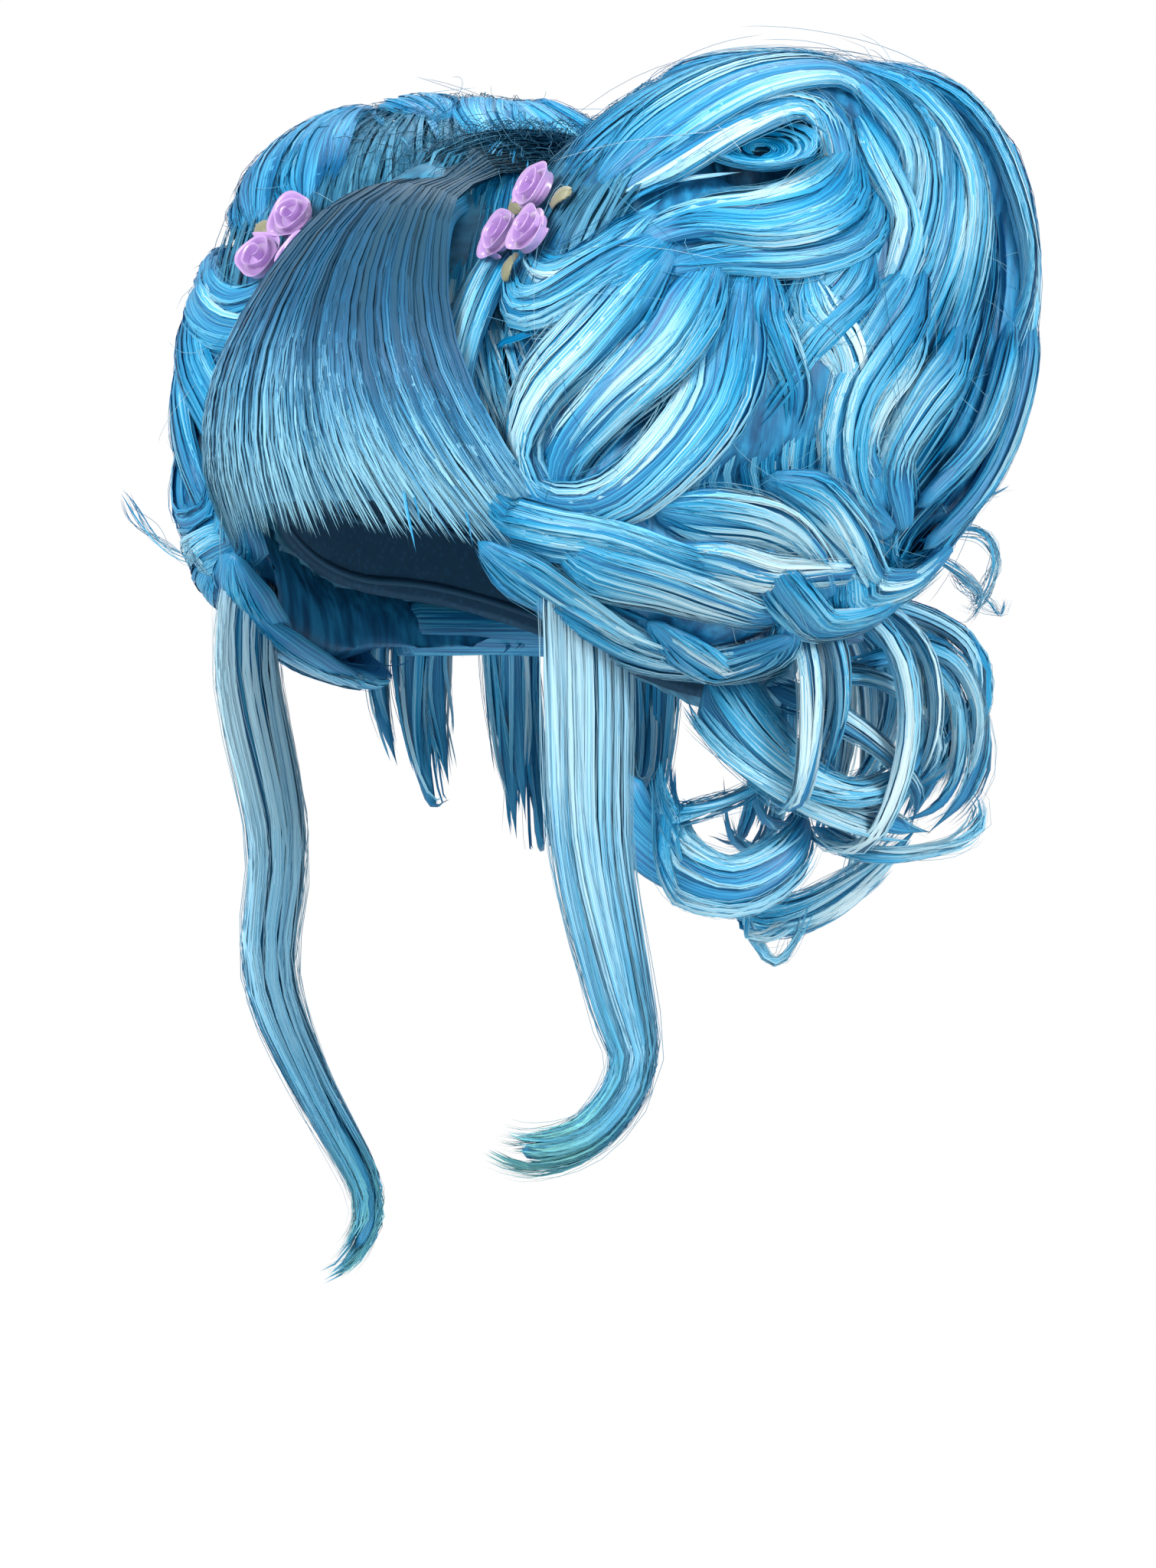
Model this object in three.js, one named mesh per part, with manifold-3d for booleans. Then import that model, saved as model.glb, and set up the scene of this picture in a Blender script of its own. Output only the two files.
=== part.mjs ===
// A curled costume wig: a wefted cap, hair laid over it, a swept fringe, two high side puffs, curls at the
// nape, two long tendrils and two clusters of ribbon roses. Millimetres, +Z up, the front along -Y.
// The origin is the underside of the cap's crown, where the wig rests.
import * as THREE from "three";
import { mergeVertices } from "three/addons/utils/BufferGeometryUtils.js";
import Module from "manifold-3d";

const wasm = await Module();
wasm.setup();
const { sin, cos, acos, abs, hypot, min, max, PI } = Math;
const degree = PI / 180;

// Cap: an oval dome, open below
const capHalfWidth = 76;
const capHalfLength = 95;
const capHeight = 95;
const capWall = 2;
const capFrontDrop = 58;
const capSideDrop = 112;
const capNapeDrop = 146;
const seamGap = 0.35;

// Hair laid over the cap, with a raised crest from the parting to the back
const layerThickness = 5;
const crestHeight = 27;
const crestHalfWidth = 46;
const crestFront = 42;
const crestFade = 26;
const domeColumns = 24;
const domeRows = 8;
const crownParting = 10;

// Open way below the cap, kept clear of hair
const wayHalfWidth = 66;
const wayFront = 92;
const wayBack = 72;
const wayDepth = 420;
const wayHeart = 30;

// Fringe: a fan from the parting to the brow
const fringeReach = 111;
const fringeTop = 18;
const fringeDrop = 110;
const fringeThickness = 9;
const fringeEdgeThickness = 3.5;
const fringeRootTurn = 27;
const fringeTipTurn = 66;
const fringeTempleDrop = 26;
const fringeShoulderDrop = 4;
const fringeRidge = 1.1;

// Side puffs: rounded boxes that lean back towards the top
const puffHalfWidth = 60;
const puffHalfLength = 88;
const puffHalfHeight = 93;
const puffOut = 2;
const puffBack = 24;
const puffTop = 53;
const puffLean = 0.2;
const puffSpread = 0.07;
const puffSquareness = 2.5;
const lockWidth = 26;
const lockThickness = 12;
const lockRise = 1.5;
const lockSteps = 6;
const rollHollowRadius = 15;
const rollHollowDepth = 26;
const rollHollowPlace = { turn: 38, lift: 46 };

// Curls at the nape
const napeTop = 120;
const napeRollRadius = 11;
const napeCurlWidth = 28;
const napeCurlThickness = 11;
const napeReach = 46;
const napeHang = 92;
const napeNodeGapTurn = 2;

// Tendrils
const tendrilWidth = 30;
const tendrilThickness = 8;
const tendrilLength = 188;
const tendrilTop = 98;
const tendrilSwing = 60;

// Ribbon roses
const roseRadius = 7;
const roseHeight = 8;
const roseRing = (2 * roseRadius + seamGap) / Math.sqrt(3);
const leafLength = 10;
const leafWidth = 6;
const leafThickness = 1.6;
const leafReach = 7.6;
const roseSeatRise = 4;
const roseBedRadius = 25;
const roseBedDepth = 10;
const roseBedSink = 5;
const rosePlace = { turn: -12, lift: 24 };

// Folded weft ends that show beside the fringe
const weftLength = 13;
const weftWidth = 2.4;
const weftThickness = 1;

// Locks fused to each puff. Each runs from its root through two places to its tip; the places are a turn about
// the puff's centre, 0 to the front and 90 outward, and a lift above its middle, in degrees. Wide is a share of
// lockWidth.
const lockRows = [
  { root: [2, 31], first: [14, 45], second: [34, 62], tip: [62, 68], wide: 1.3 },
  { root: [64, 66], first: [86, 48], second: [90, 28], tip: [80, 4], wide: 1.2 },
  { root: [76, 74], first: [117, 50], second: [122, 24], tip: [116, -6], wide: 1.3 },
  { root: [112, 76], first: [138, 44], second: [146, 14], tip: [128, -24], wide: 1.3 },
  { root: [62, 42], first: [50, 30], second: [34, 25], tip: [20, 18], wide: 1.0 },
  { root: [16, 18], first: [4, 10], second: [-10, 12], tip: [-16, 20], wide: 0.8 },
  { root: [27, 16], first: [16, 4], second: [4, -8], tip: [2, -26], wide: 1.0 },
  { root: [40, 16], first: [44, -6], second: [36, -24], tip: [10, -30], wide: 1.2 },
  { root: [58, 18], first: [62, 4], second: [60, -12], tip: [52, -28], wide: 1.1 },
  { root: [84, 12], first: [76, -14], second: [82, -34], tip: [112, -40], wide: 1.2 },
  { root: [4, -36], first: [28, -44], second: [52, -52], tip: [74, -50], wide: 1.3 },
  { root: [0, -50], first: [26, -66], second: [74, -68], tip: [104, -52], wide: 1.2 },
  { root: [150, 66], first: [162, 30], second: [156, -6], tip: [138, -36], wide: 1.4 },
  { root: [196, 52], first: [186, 14], second: [176, -22], tip: [158, -42], wide: 1.4 },
];

// Fringe profile at its middle, from the parting to the brow, as shares of its reach and drop
const fringeProfile = [
  { reach: 0.45, drop: 0 },
  { reach: 0.64, drop: 0.06 },
  { reach: 0.83, drop: 0.24 },
  { reach: 0.98, drop: 0.52 },
  { reach: 1, drop: 0.78 },
  { reach: 0.92, drop: 1 },
];

// Nape curls of the left side and the back: each leaves the roll, swings out and turns under. Reach and hang
// are shares of napeReach and napeHang, skew is how far the tip moves round, in degrees.
const sideCurls = [
  { turn: 103, reach: 0.45, hang: 0.74, skew: 6 },
  { turn: 118, reach: 0.75, hang: 0.92, skew: 6 },
  { turn: 133, reach: 1, hang: 0.74, skew: 6 },
  { turn: 146, reach: 0.92, hang: 1, skew: -4 },
];
const backCurls = [
  { turn: 164, reach: 0.9, hang: 0.82, skew: 4 },
  { turn: 180, reach: 0.8, hang: 1.05, skew: 0 },
  { turn: 196, reach: 0.9, hang: 0.82, skew: -4 },
];
const curlSection = [
  { reach: 0, hang: -0.02 },
  { reach: 0.45, hang: -0.06 },
  { reach: 0.95, hang: 0.16 },
  { reach: 1, hang: 0.55 },
  { reach: 0.62, hang: 0.95 },
  { reach: 0.05, hang: 0.94 },
  { reach: -0.12, hang: 0.66 },
];

// Tendrils: side is out from the cap's side, ahead is forward of the origin and fall is down, as shares of
// tendrilSwing for the first two and tendrilLength for the third. Wide is a share of tendrilWidth.
const leftTendril = [
  { side: 0.02, ahead: 0.86, fall: 0, wide: 0.9 },
  { side: -0.06, ahead: 0.72, fall: 0.24, wide: 1 },
  { side: -0.12, ahead: 0.64, fall: 0.5, wide: 0.88 },
  { side: -0.1, ahead: 0.46, fall: 0.74, wide: 0.7 },
  { side: -0.06, ahead: 0.4, fall: 0.87, wide: 0.52 },
  { side: -0.1, ahead: 0.66, fall: 0.97, wide: 0.44 },
  { side: -0.16, ahead: 1.04, fall: 1, wide: 0.34 },
  { side: -0.22, ahead: 1.36, fall: 0.965, wide: 0.16 },
];
const rightTendril = [
  { side: 0.02, ahead: 0.9, fall: 0, wide: 0.7 },
  { side: -0.06, ahead: 1.02, fall: 0.2, wide: 0.8 },
  { side: -0.1, ahead: 0.84, fall: 0.5, wide: 0.7 },
  { side: -0.12, ahead: 0.92, fall: 0.72, wide: 0.62 },
  { side: -0.12, ahead: 0.62, fall: 0.92, wide: 0.48 },
  { side: -0.12, ahead: 0.2, fall: 1.12, wide: 0.36 },
  { side: -0.14, ahead: 0.34, fall: 1.22, wide: 0.28 },
  { side: -0.14, ahead: 0.62, fall: 1.26, wide: 0.16 },
];

// Closed body from vertices and triangles; triangles that a pole has flattened are dropped
function closedBody(positions, triangles) {
  const geometry = new THREE.BufferGeometry();
  geometry.setAttribute("position", new THREE.Float32BufferAttribute(positions, 3));
  geometry.setIndex(triangles);
  const merged = mergeVertices(geometry, 1e-4);
  const index = Array.from(merged.index.array);
  const kept = [];
  for (let i = 0; i < index.length; i += 3) {
    const [a, b, c] = index.slice(i, i + 3);
    if (a !== b && b !== c && c !== a) kept.push(a, b, c);
  }
  return new wasm.Manifold(new wasm.Mesh({
    numProp: 3,
    vertProperties: merged.attributes.position.array,
    triVerts: new Uint32Array(kept),
  }));
}

// Closed body between an outer and an inner sheet, each a function of how far across and how far down.
// The second half of the columns is cut into triangles the other way, so that a symmetrical sheet stays so.
function shellBody(outerAt, innerAt, columns, rows, wraps) {
  const count = wraps ? columns : columns + 1;
  const positions = [];
  for (const pointAt of [outerAt, innerAt])
    for (let i = 0; i < count; i++)
      for (let j = 0; j <= rows; j++) positions.push(...pointAt(i / columns, j / rows));
  const triangles = [];
  const id = (sheet, i, j) => (sheet * count + (i % count)) * (rows + 1) + j;
  for (let i = 0; i < columns; i++) {
    const quad = (a, b, c, d) =>
      2 * i < columns ? triangles.push(a, b, c, a, c, d) : triangles.push(a, b, d, b, c, d);
    for (let j = 0; j < rows; j++) {
      quad(id(0, i, j), id(0, i, j + 1), id(0, i + 1, j + 1), id(0, i + 1, j));
      quad(id(1, i, j), id(1, i + 1, j), id(1, i + 1, j + 1), id(1, i, j + 1));
    }
    quad(id(0, i, rows), id(1, i, rows), id(1, i + 1, rows), id(0, i + 1, rows));
    quad(id(0, i, 0), id(0, i + 1, 0), id(1, i + 1, 0), id(1, i, 0));
  }
  if (!wraps)
    for (let j = 0; j < rows; j++) {
      triangles.push(id(0, 0, j), id(1, 0, j), id(1, 0, j + 1), id(0, 0, j), id(1, 0, j + 1), id(0, 0, j + 1));
      const [a, b, c, d] = [id(0, columns, j), id(0, columns, j + 1), id(1, columns, j + 1), id(1, columns, j)];
      triangles.push(a, b, c, a, c, d);
    }
  return closedBody(positions, triangles);
}

// A lock: an oval section swept along a smooth path, with its flat side facing away from a centre
function lockBody(points, steps, widthAt, thickness, centre, grow) {
  const curve = new THREE.CatmullRomCurve3(points, false, "centripetal");
  const sides = 6;
  const positions = [];
  const triangles = [];
  for (let k = 0; k <= steps; k++) {
    const share = k / steps;
    const place = curve.getPoint(share);
    const along = curve.getTangent(share);
    const outward = place.clone().sub(centre);
    outward.addScaledVector(along, -outward.dot(along)).normalize();
    const sideways = new THREE.Vector3().crossVectors(outward, along);
    const halfWidth = widthAt(share) / 2 + grow;
    const halfDepth = (thickness / 2) * min(1, widthAt(share) / thickness) + grow;
    for (let s = 0; s < sides; s++) {
      const angle = (2 * PI * s) / sides;
      const corner = place.clone();
      corner.addScaledVector(sideways, halfWidth * cos(angle));
      corner.addScaledVector(outward, halfDepth * sin(angle));
      positions.push(...corner);
    }
  }
  const id = (k, s) => k * sides + (s % sides);
  for (let k = 0; k < steps; k++)
    for (let s = 0; s < sides; s++)
      triangles.push(id(k, s), id(k, s + 1), id(k + 1, s + 1), id(k, s), id(k + 1, s + 1), id(k + 1, s));
  for (let s = 1; s < sides - 1; s++) {
    triangles.push(id(0, 0), id(0, s + 1), id(0, s));
    triangles.push(id(steps, 0), id(steps, s), id(steps, s + 1));
  }
  return closedBody(positions, triangles);
}

function largestBody(solid) {
  return solid.decompose().sort((a, b) => b.volume() - a.volume())[0];
}

function solidOf(geometry) {
  const bare = geometry.index ? geometry.toNonIndexed() : geometry.clone();
  return closedBody(bare.attributes.position.array, [...bare.attributes.position.array.keys()].slice(0, bare.attributes.position.count));
}

function geometryOf(solid) {
  const mesh = solid.getMesh();
  const geometry = new THREE.BufferGeometry();
  geometry.setAttribute("position", new THREE.Float32BufferAttribute(mesh.vertProperties, 3));
  geometry.setIndex(Array.from(mesh.triVerts));
  return geometry;
}

const smooth = (share) => {
  const held = min(1, max(0, share));
  return held * held * (3 - 2 * held);
};

// Cap and the hair laid over it
const domeCentre = new THREE.Vector3(0, 0, -capHeight);

function domePoint(turn, lean, rise) {
  return new THREE.Vector3(
    (capHalfWidth + rise) * sin(lean) * sin(turn),
    -(capHalfLength + rise) * sin(lean) * cos(turn),
    (capHeight + rise) * cos(lean) - capHeight,
  );
}

function rimLean(turn) {
  const front = max(0, cos(turn)) ** 2;
  const back = max(0, -cos(turn)) ** 2;
  const drop = front * capFrontDrop + back * capNapeDrop + (1 - front - back) * capSideDrop;
  return acos(max(-0.95, 1 - drop / capHeight));
}

function layerRise(turn, lean) {
  const across = (capHalfWidth * sin(lean) * sin(turn)) / crestHalfWidth;
  const ahead = capHalfLength * sin(lean) * cos(turn);
  const ridge = smooth(1 - abs(across));
  const front = 1 - smooth((ahead - crestFront) / crestFade);
  const back = 1 - 0.6 * smooth((lean - PI / 3) / (PI / 3));
  return layerThickness + crestHeight * ridge * front * back;
}

function domeSheet(rise) {
  return (u, v) => domePoint(2 * PI * u, v * rimLean(2 * PI * u), rise);
}

function capBody() {
  return shellBody(domeSheet(capWall), domeSheet(0), domeColumns, domeRows, true);
}

function layerSheet(grow) {
  return (u, v) => {
    const turn = 2 * PI * u;
    const lean = v * rimLean(turn);
    return domePoint(turn, lean, capWall + seamGap + layerRise(turn, lean) + grow);
  };
}

function layerBody() {
  return shellBody(layerSheet(0), domeSheet(capWall + seamGap), domeColumns, domeRows, true);
}

// Everything inside the laid hair's outer face and the way below it, grown by the seam gap
function innerForm() {
  const heart = new THREE.Vector3(0, 0, -capHeight - wayHeart);
  const filled = shellBody(layerSheet(seamGap), () => heart, domeColumns, domeRows, true);
  const dome = new THREE.SphereGeometry(1, 24, 12).rotateX(PI / 2);
  const rise = capWall + seamGap;
  dome.scale(capHalfWidth + rise, capHalfLength + rise, capHeight + rise).translate(0, 0, -capHeight);
  const way = new THREE.CylinderGeometry(1, 1, wayDepth - capHeight, 20).rotateX(PI / 2);
  way.scale(wayHalfWidth, (wayFront + wayBack) / 2, 1);
  way.translate(0, (wayBack - wayFront) / 2, -(wayDepth + capHeight) / 2);
  return filled.add(solidOf(dome)).add(solidOf(way));
}

// Fringe
const fringeColumns = 20;

function fringeBody(grow) {
  const reach = new THREE.SplineCurve(fringeProfile.map((row) => new THREE.Vector2(row.reach, row.drop)));
  const heart = new THREE.Vector3(0, -0.18 * fringeReach, fringeTop - 0.7 * fringeDrop);
  const sheet = (side) => (u, v) => {
    const span = 2 * u - 1;
    const profile = reach.getPoint(v);
    const turn = span * (fringeRootTurn + (fringeTipTurn - fringeRootTurn) * v ** 2.5) * degree;
    const blend = smooth(v * 3);
    const spread = (1 - blend) / cos(turn) + blend * (1 - 0.13 * sin(turn) ** 2);
    const out = fringeReach * profile.x * spread;
    const height = fringeTop - fringeDrop * profile.y
      - fringeTempleDrop * v * abs(span) ** 3 - fringeShoulderDrop * (1 - v) * span ** 2;
    const point = new THREE.Vector3(out * sin(turn), -out * cos(turn), height);
    const thickness = fringeThickness + (fringeEdgeThickness - fringeThickness) * v ** 2;
    const ridge = fringeRidge * cos(PI * fringeColumns * u) * min(1, 4 * v);
    const inward = heart.clone().sub(point).normalize();
    return point.addScaledVector(inward, side * (thickness / 2 + grow) + thickness / 2 - ridge * (side < 0 ? 1 : 0));
  };
  return shellBody(sheet(-1), sheet(1), fringeColumns, 6, false);
}

// Side puffs
const puffCentre = new THREE.Vector3(
  capHalfWidth - puffOut,
  puffBack,
  puffTop - puffHalfHeight,
);

function puffPoint(turn, lift, rise) {
  const way = new THREE.Vector3(
    sin(turn * degree) * cos(lift * degree),
    -cos(turn * degree) * cos(lift * degree),
    sin(lift * degree),
  );
  const power = puffSquareness;
  const size = (abs(way.x) / puffHalfWidth) ** power + (abs(way.y) / puffHalfLength) ** power
    + (abs(way.z) / puffHalfHeight) ** power;
  const point = way.multiplyScalar(size ** (-1 / power) + rise);
  point.y += puffLean * point.z;
  point.x += puffSpread * point.z;
  return point.add(puffCentre);
}

function puffCore(grow) {
  const outer = (u, v) => puffPoint(360 * u, 90 - 180 * v, grow);
  return shellBody(outer, () => puffCentre, 18, 10, true);
}

function lockPath(row) {
  const places = [row.root, row.first, row.second, row.tip].map(([turn, lift]) => new THREE.Vector2(turn, lift));
  const path = new THREE.SplineCurve(places);
  return path.getPoints(lockSteps).map((place) => puffPoint(place.x, place.y, lockRise));
}

function puffBody(grow) {
  let body = puffCore(grow).add(roseBed(grow));
  for (const row of lockRows) {
    const widthAt = (share) => row.wide * lockWidth * (0.3 + 0.7 * sin(PI * (0.12 + 0.8 * share)));
    body = body.add(lockBody(lockPath(row), lockSteps, widthAt, lockThickness, puffCentre, grow));
  }
  return body;
}

// The open end of the front roll
function rollHollow() {
  const ball = new THREE.SphereGeometry(1, 10, 6).scale(rollHollowRadius, rollHollowRadius, rollHollowDepth);
  const mouth = puffPoint(rollHollowPlace.turn, rollHollowPlace.lift, 0);
  const outward = mouth.clone().sub(puffCentre).normalize();
  ball.applyQuaternion(new THREE.Quaternion().setFromUnitVectors(new THREE.Vector3(0, 0, 1), outward));
  ball.translate(...mouth);
  return solidOf(ball);
}

// Tendrils
function tendrilBody(rows, side, grow) {
  const points = rows.map((row) => new THREE.Vector3(
    side * (capHalfWidth + tendrilSwing * row.side),
    -tendrilSwing * row.ahead,
    -tendrilTop - tendrilLength * row.fall,
  ));
  const widths = rows.map((row) => row.wide * tendrilWidth);
  const widthAt = (share) => {
    const at = min(rows.length - 1.001, share * (rows.length - 1));
    const k = Math.floor(at);
    return widths[k] + (widths[k + 1] - widths[k]) * (at - k);
  };
  const farInside = new THREE.Vector3(-10 * side * capHalfWidth, 0, -tendrilTop - tendrilLength / 2);
  return lockBody(points, 18, widthAt, tendrilThickness, farInside, grow);
}

// Nape curls
function napePoint(turn, out, height) {
  const start = domePoint(turn * degree, acos(1 - napeTop / capHeight), capWall + layerThickness);
  const flat = hypot(start.x, start.y);
  return new THREE.Vector3(
    (start.x / flat) * (flat + out),
    (start.y / flat) * (flat + out),
    -napeTop - height,
  );
}

function napeBody(rows, fromTurn, toTurn, grow) {
  const roll = [];
  const rollSteps = 4;
  for (let k = 0; k <= rollSteps; k++)
    roll.push(napePoint(fromTurn + ((toTurn - fromTurn) * k) / rollSteps, napeRollRadius * 0.6, 0));
  const rollCentre = new THREE.Vector3(0, 0, -napeTop);
  let body = lockBody(roll, 6, () => 2 * napeRollRadius, 2 * napeRollRadius, rollCentre, grow);
  for (const row of rows) {
    const points = curlSection.map((mark, k) => napePoint(
      row.turn + (row.skew * k) / (curlSection.length - 1),
      napeReach * row.reach * mark.reach + napeRollRadius * 0.6,
      napeHang * row.hang * mark.hang,
    ));
    const widthAt = (share) => napeCurlWidth * (1 - 0.55 * share);
    const curlCentre = napePoint(row.turn, 0.4 * napeReach * row.reach, 0.45 * napeHang * row.hang);
    body = body.add(lockBody(points, 10, widthAt, napeCurlThickness, curlCentre, grow));
  }
  return body;
}

// Roses, set on a flat topped bed of hair fused to the puff
function roseFrame() {
  const seat = puffPoint(rosePlace.turn, rosePlace.lift, roseSeatRise);
  const outward = seat.clone().sub(puffCentre).normalize();
  const group = new THREE.Group();
  group.position.copy(seat);
  group.up.set(0, 0, 1);
  group.lookAt(seat.clone().add(outward));
  group.updateMatrixWorld(true);
  return group;
}

function roseBed(grow) {
  const bed = new THREE.SphereGeometry(1, 10, 6).rotateX(PI / 2);
  bed.scale(roseBedRadius + grow, roseBedRadius + grow, roseBedDepth + grow).translate(0, 0, -roseBedSink);
  return solidOf(bed.applyMatrix4(roseFrame().matrixWorld));
}

function aboveRoseBed() {
  const cut = new THREE.CylinderGeometry(roseBedRadius, roseBedRadius, roseBedRadius, 10);
  cut.rotateX(PI / 2).translate(0, 0, roseBedRadius / 2);
  return solidOf(cut.applyMatrix4(roseFrame().matrixWorld));
}

function roseGeometry() {
  const profile = [
    { r: 0, h: 0 }, { r: 0.62, h: 0 }, { r: 1, h: 0.55 }, { r: 0.86, h: 0.92 }, { r: 0.66, h: 0.74 },
    { r: 0.5, h: 1 }, { r: 0.34, h: 0.8 }, { r: 0, h: 1.04 },
  ];
  const points = profile.map((mark) => new THREE.Vector2(mark.r * roseRadius, mark.h * roseHeight));
  return new THREE.LatheGeometry(points, 8).rotateX(PI / 2);
}

function leafGeometry() {
  const outline = new THREE.Shape();
  outline.absellipse(0, 0, leafLength / 2, leafWidth / 2, 0, 2 * PI);
  return new THREE.ExtrudeGeometry(outline, { depth: leafThickness, bevelEnabled: false, curveSegments: 5 });
}

// Weft ends on the laid hair, beside the fringe
function weftGeometry(turn, lean) {
  const bar = new THREE.BoxGeometry(weftWidth, weftLength, 3 * weftThickness);
  const place = domePoint(turn * degree, lean * degree, capWall + seamGap + layerThickness + weftThickness);
  const outward = place.clone().sub(domeCentre).normalize();
  const group = new THREE.Group();
  group.position.copy(place);
  group.up.set(0, 0.5, 1);
  group.lookAt(place.clone().add(outward));
  group.updateMatrixWorld(true);
  return bar.applyMatrix4(group.matrixWorld);
}

const hairColours = {
  cap: new THREE.MeshStandardMaterial({ color: 0x1c5f86, roughness: 0.8 }),
  hair: new THREE.MeshStandardMaterial({ color: 0x35a3d6, roughness: 0.4 }),
  fringe: new THREE.MeshStandardMaterial({ color: 0x3f9ac2, roughness: 0.4 }),
  tendril: new THREE.MeshStandardMaterial({ color: 0x3cb4dc, roughness: 0.4 }),
  rose: new THREE.MeshStandardMaterial({ color: 0xb892d2, roughness: 0.35 }),
  leaf: new THREE.MeshStandardMaterial({ color: 0x8f8f62, roughness: 0.5 }),
  weft: new THREE.MeshStandardMaterial({ color: 0x2b2620, roughness: 0.8 }),
};

function piece(name, geometry, material) {
  const mesh = new THREE.Mesh(geometry, material);
  mesh.name = name;
  return mesh;
}

const wig = new THREE.Group();
const rightSide = new THREE.Group();
rightSide.scale.set(-1, 1, 1);
wig.add(rightSide);

// The same piece on both sides: its name ends in _left or _right
function onBothSides(name, geometry, material) {
  wig.add(piece(name.replace("SIDE", "left"), geometry, material));
  rightSide.add(piece(name.replace("SIDE", "right"), geometry, material));
}

const inner = innerForm();
const puffSolid = puffBody(seamGap);
const bothPuffs = puffSolid.add(puffSolid.mirror([1, 0, 0]));
const fringe = fringeBody(0).subtract(inner).subtract(bothPuffs);
wig.add(piece("cap", geometryOf(capBody()), hairColours.cap));

// The crown's hair is parted along the middle and from ear to ear, with a seam gap at each parting
const section = (side) => {
  const box = new THREE.BoxGeometry(wayDepth, wayDepth, 2 * wayDepth);
  return solidOf(box.translate((wayDepth + seamGap) / 2, crownParting + (side * (wayDepth + seamGap)) / 2, 0));
};
const crown = layerBody();
onBothSides("crown_hair_SIDE_front", geometryOf(crown.intersect(section(-1))), hairColours.hair);
onBothSides("crown_hair_SIDE_back", geometryOf(crown.intersect(section(1))), hairColours.hair);
wig.add(piece("fringe", geometryOf(largestBody(fringe)), hairColours.fringe));

for (const [name, rows, side] of [["tendril_left", leftTendril, 1], ["tendril_right", rightTendril, -1]]) {
  const tendril = tendrilBody(rows, side, 0).subtract(inner).subtract(fringeBody(seamGap));
  wig.add(piece(name, geometryOf(largestBody(tendril)), hairColours.tendril));
}

const sideOfMiddle = new THREE.BoxGeometry(wayDepth, 2 * wayDepth, 2 * wayDepth);
sideOfMiddle.translate(seamGap - wayDepth / 2, 0, 0);
const puff = puffBody(0)
  .subtract(inner)
  .subtract(tendrilBody(leftTendril, 1, seamGap))
  .subtract(tendrilBody(rightTendril, -1, seamGap).mirror([1, 0, 0]))
  .subtract(aboveRoseBed())
  .subtract(rollHollow())
  .subtract(solidOf(sideOfMiddle));
onBothSides("side_puff_SIDE", geometryOf(largestBody(puff)), hairColours.hair);

const aroundNape = inner.add(bothPuffs);
const sideStart = 96;
const backStart = 155;
const napeSide = napeBody(sideCurls, sideStart, backStart - napeNodeGapTurn, 0).subtract(aroundNape);
const napeBack = napeBody(backCurls, backStart + napeNodeGapTurn, 360 - backStart - napeNodeGapTurn, 0)
  .subtract(aroundNape);
onBothSides("nape_curls_SIDE", geometryOf(largestBody(napeSide)), hairColours.hair);
wig.add(piece("nape_curls_back", geometryOf(largestBody(napeBack)), hairColours.hair));

const roseTurns = [90, 210, 330];
for (const [k, turn] of roseTurns.entries()) {
  const frame = roseFrame().matrixWorld;
  const rose = roseGeometry();
  rose.translate(roseRing * cos(turn * degree), roseRing * sin(turn * degree), seamGap);
  onBothSides("rose_SIDE_" + (k + 1), rose.applyMatrix4(frame), hairColours.rose);
  const leaf = leafGeometry().translate(leafReach + leafLength / 2, 0, seamGap);
  leaf.rotateZ((turn + 60) * degree);
  onBothSides("leaf_SIDE_" + (k + 1), leaf.applyMatrix4(frame), hairColours.leaf);
}

const weftPlaces = [{ turn: 37, lean: 55 }, { turn: 42, lean: 63 }];
for (const [k, place] of weftPlaces.entries()) {
  const weft = solidOf(weftGeometry(place.turn, place.lean))
    .subtract(inner).subtract(fringeBody(seamGap)).subtract(bothPuffs);
  onBothSides("weft_end_SIDE_" + (k + 1), geometryOf(largestBody(weft)), hairColours.weft);
}

export default wig;
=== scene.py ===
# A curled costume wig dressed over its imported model. The hair is laid in locks and strands along named paths,
# with ribbon roses, their leaves, the folded weft ends and the net cap. Tables are in millimetres.
import math

import bmesh
import bpy
import numpy as np
from mathutils import Matrix, Vector


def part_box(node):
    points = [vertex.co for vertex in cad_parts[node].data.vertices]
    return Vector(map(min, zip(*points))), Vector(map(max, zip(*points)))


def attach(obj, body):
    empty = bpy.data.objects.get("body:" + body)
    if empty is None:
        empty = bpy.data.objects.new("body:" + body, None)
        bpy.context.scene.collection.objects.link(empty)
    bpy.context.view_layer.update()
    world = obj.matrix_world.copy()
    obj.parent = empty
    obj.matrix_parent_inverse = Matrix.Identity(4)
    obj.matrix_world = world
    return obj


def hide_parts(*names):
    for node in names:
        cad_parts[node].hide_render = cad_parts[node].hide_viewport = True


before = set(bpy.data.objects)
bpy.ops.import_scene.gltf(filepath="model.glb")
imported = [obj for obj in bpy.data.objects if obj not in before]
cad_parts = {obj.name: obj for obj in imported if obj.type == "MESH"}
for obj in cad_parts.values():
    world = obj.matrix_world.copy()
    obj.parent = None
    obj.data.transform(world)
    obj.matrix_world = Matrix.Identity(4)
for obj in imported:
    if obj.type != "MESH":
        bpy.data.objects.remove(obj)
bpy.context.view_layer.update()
mm = 0.001
dice = np.random.default_rng(11)
print("frame loaded:", len(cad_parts), "nodes")


# Colours and materials

def paint(screenHex):  # a screen colour as the values that a shader takes
    values = [int(screenHex[i:i + 2], 16) / 255 for i in (0, 2, 4)]
    return [v / 12.92 if v < 0.04045 else ((v + 0.055) / 1.055) ** 2.4 for v in values] + [1.0]


def newMaterial(name, roughness):
    material = bpy.data.materials.new(name)
    material.use_nodes = True
    shader = material.node_tree.nodes["Principled BSDF"]
    shader.inputs["Roughness"].default_value = roughness
    return material, material.node_tree.nodes, material.node_tree.links, shader


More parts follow.
